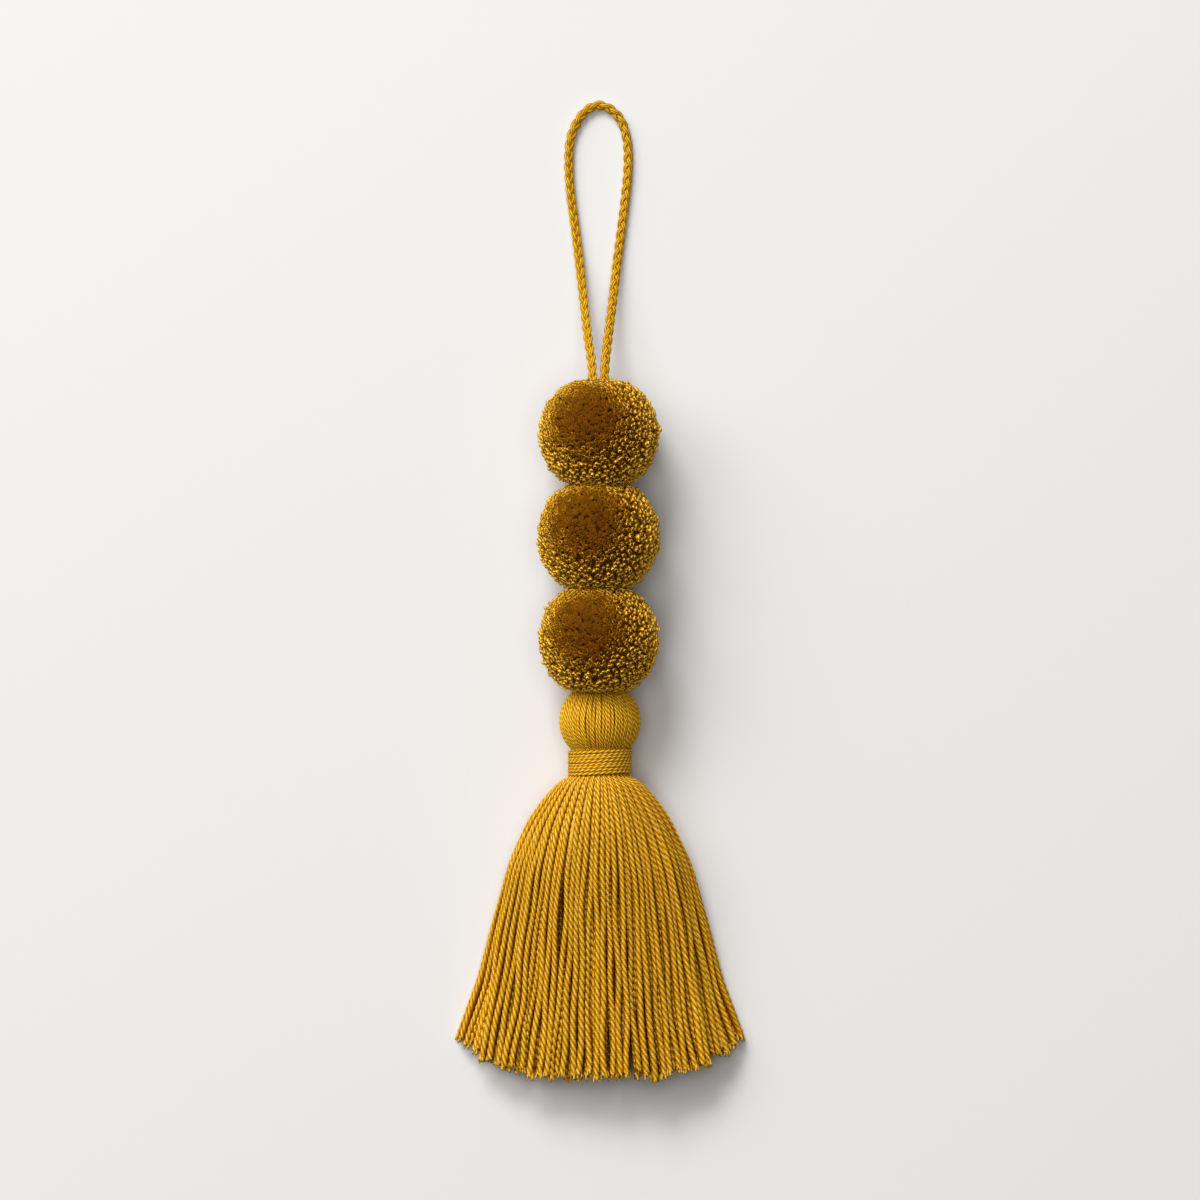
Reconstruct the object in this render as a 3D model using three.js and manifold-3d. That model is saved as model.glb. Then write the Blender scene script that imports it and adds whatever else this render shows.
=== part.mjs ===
// A yarn charm lying on its back: a braided hanging loop, three pompoms in a row, and a tassel
// with a round head, a wound neck and a fanned skirt of cut yarn.
// Millimetres. X runs across the charm, +Y toward the loop, and Z = 0 is the surface below it.

import * as THREE from "three";
import { mergeVertices } from "three/addons/utils/BufferGeometryUtils.js";
import Module from "manifold-3d";

const library = await Module();
library.setup();

// Driving dimensions

const clearance = 0.3;

// The pompoms' tufts end on a ball, and are shorter below and where two pompoms press together.
const pompomX = -0.4;
const pompomHeight = 17.8;
const pompomCoreRadius = 12.5;
const tuftRounding = 0.9;
const tuftGap = 0.9;
const tuftUnevenness = 0.5;
const tuftSway = 0.12;
const tuftSkew = 0.8;
const pompomTopY = 107.2;
const upperWaistY = 74.7;
const lowerWaistY = 43.4;
const headMeetingY = 11.6;
const pompoms = [
  { name: "pompom_top", y: 90.1, radius: 18.9, upperY: pompomTopY, lowerY: upperWaistY },
  { name: "pompom_middle", y: 59.0, radius: 19.3, upperY: upperWaistY, lowerY: lowerWaistY },
  { name: "pompom_bottom", y: 27.4, radius: 18.9, upperY: lowerWaistY, lowerY: headMeetingY },
];

// Rings of tufts round a pompom, in degrees from its upper pole. The poles stay open for the cord.
// The middle ring has a tuft right below, which carries the pompom.
const tuftRings = [
  { from: 18, to: 37.5, count: 6, turn: 12 },
  { from: 37.5, to: 58.5, count: 10, turn: 31 },
  { from: 58.5, to: 79.5, count: 12, turn: 8 },
  { from: 79.5, to: 100.5, count: 13, turn: 0 },
  { from: 100.5, to: 121.5, count: 12, turn: 21 },
  { from: 121.5, to: 142.5, count: 10, turn: 5 },
  { from: 142.5, to: 162, count: 6, turn: 40 },
];

// The tassel's head is a yarn-covered ball, above a neck that is bound with wound yarn.
const headY = 2.4;
const headHeight = 12.3;
const headRadius = 12.5;
const headRidges = 18;
const headRidgeDepth = 0.35;
const headRows = 8;
const headYarnSlant = 0.35;
const neckHeight = 11.9;
const neckRadius = 8.7;
const wrapRadius = 9.9;
const wrapGrooveDepth = 0.35;
const wrapTurns = 8;
const neckSides = 24;
const wrapTopY = -6.6;
const wrapTopSlope = 0.9;
const wrapBottomY = -14.4;

// The skirt, from its root below the wrap to the cut ends. along is the part of a strand's length,
// halfWidth the spread to either side, side the height of the outermost strands above the surface,
// crown the top of the upper layer and floor the underside of the lowest layer.
const skirtRootY = wrapBottomY - clearance;
const skirtTipY = -107.0;
const skirtCornerRise = 11.4;
const skirtCornerPower = 3.8;
const skirtSections = [
  { along: 0.00, halfWidth: 9.9, side: 11.9, crown: 21.4, floor: 2.9 },
  { along: 0.03, halfWidth: 14.2, side: 11.2, crown: 23.2, floor: 1.7 },
  { along: 0.09, halfWidth: 18.4, side: 10.2, crown: 24.8, floor: 0.5 },
  { along: 0.17, halfWidth: 22.7, side: 8.6, crown: 25.4, floor: 0.0 },
  { along: 0.32, halfWidth: 27.9, side: 6.2, crown: 23.8, floor: 0.0 },
  { along: 0.55, halfWidth: 33.1, side: 3.2, crown: 19.8, floor: 0.0 },
  { along: 0.77, halfWidth: 37.7, side: 1.0, crown: 15.6, floor: 0.0 },
  { along: 1.00, halfWidth: 43.9, side: 0.0, crown: 12.0, floor: 0.0 },
];
const rootEndAlong = 0.045;
const rootMargin = 0.3;
const rootRidges = 26;
const rootRidgeDepth = 0.3;

// Layers of strands: the upper one, one inside, and the one on the floor. inset is the width left
// free at either side, as a share of the half width. base and rise are the heights of a layer's
// sides and of its arch, as shares of the room between the skirt's sides and its crown. edge is
// the room left below a layer's outermost strands, at most edgeShare of its arc.
const strandLayers = [
  { inset: 0, base: 0, rise: 1, edge: 2.8, edgeShare: 0.12, count: 35, sides: 4, steps: 6 },
  { inset: 0.14, base: 0.15, rise: 0.58, edge: 5.5, edgeShare: 0.2, count: 22, sides: 4, steps: 4 },
  { inset: 0, onFloor: true, count: 35, sides: 3, steps: 4 },
];
const strandStartAlong = 0.028;
const strandStepBias = 1.5;
const strandGap = 0.35;
const strandWidest = 2.1;
const strandThickness = 1.7;
const rootThickness = 0.55;
const strandLengthUnevenness = 0.9;
const strandLift = 0.45;

// The braided cord of the hanging loop: its middle line, from inside the top pompom up the left
// side, round the apex and back down the right side.
const cordRadius = 1.42;
const cordSides = 8;
const braidRelief = 0.16;
const braidStep = 1.5;
const loopRoute = [
  { x: -2.0, y: 102.9, z: 17.3 },
  { x: -2.3, y: 107.2, z: 16.2 },
  { x: -2.7, y: 112.7, z: 13.9 },
  { x: -3.6, y: 118.8, z: 10.9 },
  { x: -5.0, y: 131.1, z: 5.6 },
  { x: -6.4, y: 143.3, z: 2.5 },
  { x: -7.9, y: 155.5, z: 1.65 },
  { x: -9.0, y: 164.0, z: 1.65 },
  { x: -9.5, y: 172.5, z: 1.65 },
  { x: -9.0, y: 180.5, z: 1.65 },
  { x: -6.7, y: 186.2, z: 1.65 },
  { x: -3.7, y: 189.6, z: 1.65 },
  { x: -0.3, y: 190.9, z: 1.65 },
  { x: 3.3, y: 189.6, z: 1.65 },
  { x: 6.4, y: 186.2, z: 1.65 },
  { x: 8.2, y: 180.5, z: 1.65 },
  { x: 8.6, y: 173.0, z: 1.65 },
  { x: 7.9, y: 164.0, z: 1.65 },
  { x: 6.9, y: 155.5, z: 1.65 },
  { x: 5.3, y: 143.3, z: 2.5 },
  { x: 3.9, y: 131.1, z: 5.6 },
  { x: 2.4, y: 118.8, z: 10.9 },
  { x: 1.7, y: 112.7, z: 13.9 },
  { x: 1.4, y: 107.2, z: 16.2 },
  { x: 1.2, y: 102.9, z: 17.3 },
];

const mustard = 0xb9862a;
const darkMustard = 0x9a6a1e;

// Small helpers

const degrees = Math.PI / 180;

// A repeatable value from -1 to 1, so that tufts and strands differ a little from each other.
function uneven(seed) {
  const value = Math.sin(seed * 127.1 + 311.7) * 43758.5453;
  return 2 * (value - Math.floor(value)) - 1;
}

// Merges the shared corners of a geometry and lets place move each of them.
function reshape(geometry, place) {
  geometry.deleteAttribute("normal");
  geometry.deleteAttribute("uv");
  const merged = mergeVertices(geometry);
  const position = merged.attributes.position;
  const point = new THREE.Vector3();
  for (let i = 0; i < position.count; i += 1) {
    point.fromBufferAttribute(position, i);
    const moved = place(point);
    position.setXYZ(i, moved.x, moved.y, moved.z);
  }
  return merged;
}

function toSolid(geometry) {
  return new library.Manifold(new library.Mesh({
    numProp: 3,
    vertProperties: Float32Array.from(geometry.attributes.position.array),
    triVerts: Uint32Array.from(geometry.index.array),
  }));
}

function toGeometry(solid) {
  const mesh = solid.getMesh();
  const geometry = new THREE.BufferGeometry();
  geometry.setAttribute("position", new THREE.BufferAttribute(mesh.vertProperties, 3));
  geometry.setIndex(new THREE.BufferAttribute(mesh.triVerts, 1));
  return geometry;
}

function fromFaces(points, faces) {
  const geometry = new THREE.BufferGeometry();
  geometry.setFromPoints(points);
  geometry.setIndex(faces.flat());
  return geometry;
}

function join(geometries) {
  const solids = geometries.map(toSolid);
  return toGeometry(solids.reduce((whole, solid) => whole.add(solid)));
}

function yarnMaterial(color) {
  return new THREE.MeshStandardMaterial({ color, roughness: 0.9, metalness: 0 });
}

function namedMesh(name, geometry, color) {
  geometry.computeVertexNormals();
  const mesh = new THREE.Mesh(geometry, yarnMaterial(color));
  mesh.name = name;
  return mesh;
}

// Unit vector at an angle from +Y (polar) and round the Y axis from +Z toward +X (azimuth).
function directionAt(polar, azimuth) {
  return new THREE.Vector3(
    Math.sin(polar) * Math.sin(azimuth),
    Math.cos(polar),
    Math.sin(polar) * Math.cos(azimuth),
  );
}

// How far a ball reaches from its centre: round, but flat on the surface below it and where it
// meets what lies above and below it on the cord.
function reach(direction, limits) {
  let distance = limits.radius;
  if (direction.z < 0) {
    distance = Math.min(distance, limits.height / -direction.z);
  }
  if (direction.y > 0) {
    distance = Math.min(distance, limits.upper / direction.y);
  }
  if (direction.y < 0) {
    distance = Math.min(distance, limits.lower / -direction.y);
  }
  return distance;
}

// Pompoms

// The corners of a tuft in order round it, seen from outside: side tells which edge along the
// ring and polar which edge away from the pole.
const tuftCorners = [
  { polar: -1, side: -1 },
  { polar: 1, side: -1 },
  { polar: 1, side: 1 },
  { polar: -1, side: 1 },
];

// The four corner directions of each tuft in a ring, a little uneven.
function ringTufts(ring, radius, seed) {
  const step = (2 * Math.PI) / ring.count;
  const halfGap = (0.5 * tuftGap) / radius;
  const middlePolar = 0.5 * (ring.from + ring.to) * degrees;
  const halfPolar = 0.5 * (ring.to - ring.from) * degrees - halfGap;
  const turn = ring.turn * degrees;
  const edge = (index) => {
    const own = index % ring.count;
    return (index + tuftSway * uneven(seed + 0.1 + own)) * step + turn;
  };
  const tufts = [];
  for (let index = 0; index < ring.count; index += 1) {
    const middle = 0.5 * (edge(index) + edge(index + 1));
    const half = 0.5 * (edge(index + 1) - edge(index)) - halfGap / Math.sin(middlePolar);
    const corners = tuftCorners.map(({ polar, side }, corner) => {
      const skew = tuftSkew * degrees * uneven(seed + index * 7 + corner * 0.3);
      return { polar: middlePolar + polar * halfPolar + skew, azimuth: middle + side * half };
    });
    tufts.push({ corners, middle: { polar: middlePolar, azimuth: middle } });
  }
  return tufts;
}

function addPoint(skin, { polar, azimuth }, distanceAt) {
  const direction = directionAt(polar, azimuth);
  skin.points.push(direction.multiplyScalar(distanceAt(direction)));
  return skin.points.length - 1;
}

function addQuad(skin, a, b, c, d) {
  skin.faces.push([a, b, c], [a, c, d]);
}

// A tuft stands on the core. Its end has a low peak, or is level where something presses on it.
function addTuft(skin, limits, { corners, middle }, unevenness) {
  const pressed = reach(directionAt(middle.polar, middle.azimuth), limits) < limits.radius;
  const radius = limits.radius + (pressed ? 0 : tuftUnevenness * unevenness);
  const toPeak = (ray) => reach(ray, { ...limits, radius });
  const toShoulder = (ray) => (toPeak(ray) < radius ? toPeak(ray) : radius - tuftRounding);
  const roots = corners.map((corner) => addPoint(skin, corner, () => pompomCoreRadius));
  const tips = corners.map((corner) => addPoint(skin, corner, toShoulder));
  const peak = addPoint(skin, middle, toPeak);
  roots.forEach((root, corner) => {
    const next = (corner + 1) % roots.length;
    addQuad(skin, root, roots[next], tips[next], tips[corner]);
    skin.faces.push([peak, tips[corner], tips[next]]);
  });
  return { roots, angles: corners.map((corner) => corner.azimuth) };
}

// The root corners along one edge of a ring, in order round the ball.
function edgeOf(tufts, corners) {
  return tufts.flatMap(({ roots, angles }) => (
    corners.map((corner) => ({ point: roots[corner], angle: angles[corner] }))
  ));
}

// A pompom is one closed skin: four-sided tufts that stand on a ball, and the ball's surface
// in the gaps between them.
function pompomGeometry(pompom, seed) {
  const limits = {
    radius: pompom.radius,
    height: pompomHeight,
    upper: pompom.upperY - 0.5 * clearance - pompom.y,
    lower: pompom.y - pompom.lowerY - 0.5 * clearance,
  };
  const skin = { points: [], faces: [] };
  const rings = tuftRings.map((ring, ringIndex) => {
    const ringSeed = seed * 100 + ringIndex * 10;
    return ringTufts(ring, pompom.radius, ringSeed).map((shape, index) => (
      addTuft(skin, limits, shape, uneven(ringSeed * 10 + index))
    ));
  });
  for (const tufts of rings) {
    tufts.forEach(({ roots }, index) => {
      const next = tufts[(index + 1) % tufts.length].roots;
      addQuad(skin, roots[3], roots[2], next[1], next[0]);
    });
  }
  for (let ring = 1; ring < rings.length; ring += 1) {
    skin.faces.push(...belt(edgeOf(rings[ring - 1], [1, 2]), edgeOf(rings[ring], [0, 3])));
  }
  const upperPole = addPoint(skin, { polar: 0, azimuth: 0 }, () => pompomCoreRadius);
  const lowerPole = addPoint(skin, { polar: Math.PI, azimuth: 0 }, () => pompomCoreRadius);
  edgeOf(rings[0], [0, 3]).forEach(({ point }, index, edge) => {
    skin.faces.push([upperPole, point, edge[(index + 1) % edge.length].point]);
  });
  edgeOf(rings[rings.length - 1], [1, 2]).forEach(({ point }, index, edge) => {
    skin.faces.push([point, lowerPole, edge[(index + 1) % edge.length].point]);
  });
  return fromFaces(skin.points, skin.faces);
}

// Triangles between two closed rows of points, both in order of their angle round the ball.
function belt(upper, lower) {
  const turn = 2 * Math.PI;
  const angleOf = (row, index) => {
    const laps = Math.floor(index / row.length);
    return row[index % row.length].angle + turn * laps;
  };
  const start = upper[0].angle;
  const shift = Math.round((lower[0].angle - start) / turn) * turn;
  let offset = 0;
  while (angleOf(lower, offset) - shift < start) {
    offset += 1;
  }
  const faces = [];
  let i = 0;
  let j = offset;
  while (i < upper.length || j < offset + lower.length) {
    const upperPoint = upper[i % upper.length].point;
    const lowerPoint = lower[j % lower.length].point;
    const nextUpper = i < upper.length ? angleOf(upper, i + 1) : Infinity;
    const nextLower = j < offset + lower.length ? angleOf(lower, j + 1) - shift : Infinity;
    if (nextUpper < nextLower) {
      faces.push([upperPoint, lowerPoint, upper[(i + 1) % upper.length].point]);
      i += 1;
    } else {
      faces.push([upperPoint, lowerPoint, lower[(j + 1) % lower.length].point]);
      j += 1;
    }
  }
  return faces;
}

function makePompom(pompom, index) {
  const mesh = namedMesh(pompom.name, pompomGeometry(pompom, index + 1), darkMustard);
  mesh.position.set(pompomX, pompom.y, pompomHeight);
  return mesh;
}

// Tassel

// The head: yarn laid over a ball from its top to the neck, as slanted ridges.
function headGeometry() {
  const limits = {
    radius: headRadius,
    height: headHeight,
    upper: headMeetingY - 0.5 * clearance - headY,
    lower: headRadius,
  };
  const ball = new THREE.SphereGeometry(1, 2 * headRidges, headRows);
  return reshape(ball, (point) => {
    const polar = Math.acos(THREE.MathUtils.clamp(point.y, -1, 1));
    const azimuth = Math.atan2(point.x, point.z);
    const groove = 0.5 - 0.5 * Math.cos(headRidges * azimuth);
    const depth = headRidgeDepth * groove * Math.sin(polar);
    const turned = azimuth + headYarnSlant * (polar - 0.5 * Math.PI);
    const direction = directionAt(polar, turned);
    const distance = reach(direction, { ...limits, radius: headRadius - depth });
    return direction.multiplyScalar(distance).add(new THREE.Vector3(0, headY, headHeight));
  });
}

function neckGeometry() {
  const top = headY;
  const bottom = skirtRootY - 1;
  const neck = new THREE.CylinderGeometry(neckRadius, neckRadius, top - bottom, neckSides);
  const middle = new THREE.Vector3(0, 0.5 * (top + bottom), neckHeight);
  return reshape(neck, (point) => point.add(middle));
}

// The skirt's section at a part of the strands' length, between the rows of its table.
function skirtSectionAt(along) {
  let row = 1;
  while (row < skirtSections.length - 1 && skirtSections[row].along < along) {
    row += 1;
  }
  const before = skirtSections[row - 1];
  const after = skirtSections[row];
  const part = (along - before.along) / (after.along - before.along);
  const between = (column) => THREE.MathUtils.lerp(before[column], after[column], part);
  return {
    halfWidth: between("halfWidth"),
    side: between("side"),
    crown: between("crown"),
    floor: between("floor"),
  };
}

// The Y of a strand at a part of its length. The strands at the corners end further back.
function skirtY(along, spread) {
  const rise = skirtCornerRise * Math.abs(spread) ** skirtCornerPower;
  return THREE.MathUtils.lerp(skirtRootY, skirtTipY + rise, along);
}

// The point at a share of the length of a half ellipse from its left end to its right end.
function halfEllipse(width, rise, share) {
  const steps = 48;
  const lengths = [0];
  const at = (step) => {
    const angle = (step / steps - 0.5) * Math.PI;
    return new THREE.Vector2(width * Math.sin(angle), rise * Math.cos(angle));
  };
  for (let step = 1; step <= steps; step += 1) {
    lengths.push(lengths[step - 1] + at(step).distanceTo(at(step - 1)));
  }
  const length = lengths[steps];
  let step = 1;
  while (step < steps && lengths[step] < share * length) {
    step += 1;
  }
  const part = (share * length - lengths[step - 1]) / (lengths[step] - lengths[step - 1]);
  return { point: at(step - 1).lerp(at(step), part), length };
}

// Where a strand's middle line passes, how much room it has there and how far out it lies.
function strandPlace(layer, index, along) {
  const section = skirtSectionAt(along);
  const width = (section.halfWidth - 0.5 * strandWidest) * (1 - layer.inset);
  const share = index / (layer.count - 1);
  if (layer.onFloor) {
    const { point, length } = halfEllipse(width, section.side - section.floor, share);
    const place = new THREE.Vector3(point.x, 0, section.side - point.y);
    return { place, pitch: length / (layer.count - 1), spread: point.x / width };
  }
  const room = section.crown - 0.5 * strandThickness - section.side;
  const arc = halfEllipse(width, room * layer.rise, 0).length;
  const margin = Math.min(layer.edge / arc, layer.edgeShare);
  const inner = 1 - 2 * margin;
  const { point } = halfEllipse(width, room * layer.rise, margin + inner * share);
  const place = new THREE.Vector3(point.x, 0, section.side + room * layer.base + point.y);
  return { place, pitch: (arc * inner) / (layer.count - 1), spread: point.x / width };
}

// One strand, from inside the root to its cut end. A strand on the floor has a flat underside.
function strand(layer, index, seed) {
  const endSpread = strandPlace(layer, index, 1).spread;
  const longer = strandLengthUnevenness * uneven(seed);
  const lift = layer.onFloor ? 0 : strandLift * uneven(seed + 0.5);
  const centreAt = (along) => {
    const { place, pitch } = strandPlace(layer, index, along);
    place.y = skirtY(along, endSpread) - longer * along;
    place.z += lift * along;
    return { place, pitch };
  };
  const backAt = (along) => {
    const nearStep = 0.01;
    const ahead = centreAt(Math.min(1, along + nearStep)).place;
    return centreAt(along - nearStep).place.sub(ahead).normalize();
  };
  const prism = new THREE.CylinderGeometry(1, 1, 1, layer.sides, layer.steps);
  return reshape(prism, ({ x, y, z }) => {
    const share = (0.5 - y) ** strandStepBias;
    const along = THREE.MathUtils.lerp(strandStartAlong, 1, share);
    const { place, pitch } = centreAt(along);
    const back = backAt(along);
    const width = Math.min(strandWidest, pitch - strandGap);
    const fullness = THREE.MathUtils.lerp(rootThickness, 1, width / strandWidest);
    const thickness = Math.min(strandThickness * fullness, pitch - strandGap);
    if (layer.onFloor) {
      const halfBase = Math.sqrt(0.75);
      const side = new THREE.Vector3(back.y, -back.x, 0).normalize();
      place.addScaledVector(side, (0.5 * width * x) / halfBase);
      place.z += (thickness * (z + 0.5)) / 1.5;
      return place;
    }
    const section = skirtSectionAt(along);
    const rise = section.crown - section.side;
    const outward = new THREE.Vector3(
      place.x / section.halfWidth ** 2,
      0,
      (place.z - section.side) / rise ** 2,
    );
    const side = back.clone().cross(outward).normalize();
    const up = side.clone().cross(back);
    place.addScaledVector(side, 0.5 * width * x);
    place.addScaledVector(up, 0.5 * thickness * z);
    return place;
  });
}

// The root of the skirt, in which all strands are fused: a short ridged bell below the wrap.
function skirtRootGeometry() {
  const bell = new THREE.CylinderGeometry(1, 1, 1, 2 * rootRidges, 2);
  return reshape(bell, ({ x, y, z }) => {
    const along = THREE.MathUtils.lerp(0, rootEndAlong, 0.5 - y);
    const section = skirtSectionAt(along);
    const rise = z > 0 ? section.crown - section.side : section.side - section.floor;
    const ridge = 0.5 - 0.5 * Math.cos(rootRidges * Math.atan2(x, z));
    const depth = rootRidgeDepth * ridge * (0.5 - y);
    return new THREE.Vector3(
      x * (section.halfWidth + rootMargin - depth),
      skirtY(along, 0),
      section.side + z * (rise + rootMargin - depth),
    );
  });
}

function tasselGeometry() {
  const pieces = [headGeometry(), neckGeometry(), skirtRootGeometry()];
  strandLayers.forEach((layer, layerIndex) => {
    for (let index = 0; index < layer.count; index += 1) {
      pieces.push(strand(layer, index, 1000 * (layerIndex + 1) + index));
    }
  });
  return join(pieces);
}

// Neck wrap

function wrapGeometry() {
  const inner = neckRadius + clearance;
  const turn = (wrapTopY - wrapBottomY) / wrapTurns;
  const groove = wrapRadius - wrapGrooveDepth;
  const profile = [new THREE.Vector2(inner, wrapBottomY), new THREE.Vector2(groove, wrapBottomY)];
  for (let index = 0; index < wrapTurns; index += 1) {
    profile.push(new THREE.Vector2(wrapRadius, wrapBottomY + (index + 0.5) * turn));
    profile.push(new THREE.Vector2(groove, wrapBottomY + (index + 1) * turn));
  }
  profile.push(new THREE.Vector2(inner, wrapTopY - wrapTopSlope));
  profile.push(profile[0].clone());
  return reshape(new THREE.LatheGeometry(profile, neckSides), (point) => point);
}

function makeWrap() {
  const mesh = namedMesh("neck_wrap", wrapGeometry(), mustard);
  mesh.position.z = neckHeight;
  return mesh;
}

// Hanging loop

// A round cord along the route, with the crossing strands of its braid raised in turn.
function loopGeometry() {
  const points = loopRoute.map(({ x, y, z }) => new THREE.Vector3(x, y, z));
  const route = new THREE.CatmullRomCurve3(points, false, "centripetal");
  const steps = 2 * Math.round(route.getLength() / (2 * braidStep));
  const corners = [];
  for (let side = 0; side < cordSides; side += 1) {
    const angle = (side / cordSides) * 2 * Math.PI;
    corners.push(new THREE.Vector2(cordRadius * Math.cos(angle), cordRadius * Math.sin(angle)));
  }
  const tube = new THREE.ExtrudeGeometry(new THREE.Shape(corners), {
    steps,
    extrudePath: route,
    bevelEnabled: false,
  });
  const centres = route.getSpacedPoints(steps);
  const frames = route.computeFrenetFrames(steps, false);
  return reshape(tube, (point) => {
    let ring = 0;
    for (let index = 1; index <= steps; index += 1) {
      if (point.distanceTo(centres[index]) < point.distanceTo(centres[ring])) {
        ring = index;
      }
    }
    const outward = point.clone().sub(centres[ring]);
    const angle = Math.atan2(outward.dot(frames.binormals[ring]), outward.dot(frames.normals[ring]));
    const crossing = Math.sin(2 * angle) * (ring % 2 === 0 ? 1 : -1);
    const radius = cordRadius + braidRelief * crossing;
    return centres[ring].clone().addScaledVector(outward.normalize(), radius);
  });
}

// The whole charm

const charm = new THREE.Group();
charm.name = "charm";
charm.add(namedMesh("hanging_loop", loopGeometry(), mustard));
pompoms.forEach((pompom, index) => charm.add(makePompom(pompom, index)));
charm.add(namedMesh("tassel", tasselGeometry(), mustard));
charm.add(makeWrap());

export default charm;
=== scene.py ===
"""A yarn charm on a pale surface: a braided loop, three pompoms, and a tassel with a wound neck.

Every piece is built round the packed model, in metres and in its frame: X across the charm,
+Y toward the loop, and Z = 0 at the surface below. Tables of places are in millimetres.
"""

import math

import bpy
import numpy as np
from bpy.props import FloatProperty, FloatVectorProperty, IntProperty, PointerProperty
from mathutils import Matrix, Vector


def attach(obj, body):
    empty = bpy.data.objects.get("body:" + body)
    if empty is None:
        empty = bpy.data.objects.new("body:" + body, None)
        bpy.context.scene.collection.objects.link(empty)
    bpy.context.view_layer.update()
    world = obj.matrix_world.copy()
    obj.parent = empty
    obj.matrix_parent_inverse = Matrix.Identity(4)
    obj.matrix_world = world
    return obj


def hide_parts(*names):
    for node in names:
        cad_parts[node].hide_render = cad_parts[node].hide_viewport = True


bl_info = {
    "name": "Pompom and Tassel Charm",
    "version": (1, 0, 0),
    "blender": (4, 5, 0),
    "location": "View3D > Sidebar > Charm",
    "description": "Builds a yarn charm of pompoms and a tassel round its packed model",
    "category": "Object",
}

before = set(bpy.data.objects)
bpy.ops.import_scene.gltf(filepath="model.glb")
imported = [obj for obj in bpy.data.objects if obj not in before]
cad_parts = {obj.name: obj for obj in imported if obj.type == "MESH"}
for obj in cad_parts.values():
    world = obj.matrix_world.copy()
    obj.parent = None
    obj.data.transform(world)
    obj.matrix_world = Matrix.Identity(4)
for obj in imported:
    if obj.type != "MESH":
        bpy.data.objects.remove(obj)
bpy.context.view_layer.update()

MM = 0.001
BODY = "root"
FULL_TURN = 2 * math.pi
GOLDEN_ANGLE = math.pi * (3 - math.sqrt(5))
MARKS = "yarn_marks"
LAY = "yarn_lay"
MIDDLE_TONE = 0.5

# The pompoms, in millimetres: the middle of each ball, its radius, and the planes above and
# below it where it is pressed by what it meets.
POMPOM_X = -0.4
POMPOM_HEIGHT = 17.8
POMPOMS = (
    {"node": "pompom_top", "y": 90.1, "radius": 18.9, "upper": 106.2, "lower": 74.7},
    {"node": "pompom_middle", "y": 59.0, "radius": 19.3, "upper": 74.7, "lower": 43.4},
    {"node": "pompom_bottom", "y": 27.4, "radius": 18.9, "upper": 43.4, "lower": 11.6},
)

# The tassel's head and neck, in millimetres.
HEAD_Y = 2.4
HEAD_HEIGHT = 12.3
HEAD_RADIUS = 12.5
HEAD_TOP_Y = 11.7
NECK_HEIGHT = 11.9
NECK_RADIUS = 8.7
NECK_END_Y = -9.5
WRAP_TOP_Y = -6.6
WRAP_BOTTOM_Y = -14.4
WRAP_RADIUS = 9.9

# The skirt, in millimetres: along is the part of a strand's length, then come the spread to
# either side, the height of the outermost strands, the top of the arch and its underside. The
# strands at the corners end sooner than the middle ones, by up to the corner rise. Sections are
# averaged over the blur, in parts of the length, which comes in over its growth.
SKIRT_ROOT_Y = -14.7
SKIRT_TIP_Y = -106.4
SKIRT_CORNER_RISE = 11.4
SKIRT_CORNER_POWER = 3.8
SKIRT_SECTIONS = (
    # along, half width, side, crown, floor
    (-0.025, 8.9, 11.9, 20.7, 3.1),
    (-0.006, 9.2, 11.9, 21.0, 3.0),
    (0.00, 9.7, 11.9, 21.4, 2.9),
    (0.03, 13.4, 11.2, 23.2, 1.7),
    (0.09, 17.8, 10.2, 24.8, 0.5),
    (0.17, 22.3, 8.6, 25.4, 0.1),
    (0.32, 27.9, 6.2, 23.8, 0.1),
    (0.55, 33.1, 3.2, 20.2, 0.1),
    (0.77, 37.7, 1.6, 17.2, 0.1),
    (1.00, 44.5, 1.2, 15.0, 0.1),
)
SECTION_BLUR = np.linspace(-0.03, 0.03, 7)
BLUR_GROWTH = (0.0, 0.1)

# The middle line of the loop's cord, in millimetres, from inside the top pompom up the left
# side, round the apex and back down the right side.
LOOP_ROUTE = (
    (-2.0, 102.9, 17.3),
    (-2.3, 107.2, 16.2),
    (-2.7, 112.7, 13.9),
    (-3.6, 118.8, 10.9),
    (-5.0, 131.1, 5.6),
    (-6.4, 143.3, 2.5),
    (-7.9, 155.5, 1.65),
    (-9.0, 164.0, 1.65),
    (-9.5, 172.5, 1.65),
    (-9.0, 180.5, 1.65),
    (-6.7, 186.2, 1.65),
    (-3.7, 189.6, 1.65),
    (-0.3, 190.9, 1.65),
    (3.3, 189.6, 1.65),
    (6.4, 186.2, 1.65),
    (8.2, 180.5, 1.65),
    (8.6, 173.0, 1.65),
    (7.9, 164.0, 1.65),
    (6.9, 155.5, 1.65),
    (5.3, 143.3, 2.5),
    (3.9, 131.1, 5.6),
    (2.4, 118.8, 10.9),
    (1.7, 112.7, 13.9),
    (1.4, 107.2, 16.2),
    (1.2, 102.9, 17.3),
)


# Sizes and colours that a user would change


def colour_setting(name, description, default):
    """A colour that a user can pick."""
    return FloatVectorProperty(name=name, description=description, subtype="COLOR", size=3,
                               min=0, max=1, default=default)


def length_setting(name, description, default):
    """A length in metres that a user can set."""
    return FloatProperty(name=name, description=description, subtype="DISTANCE",
                         default=default)


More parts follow.
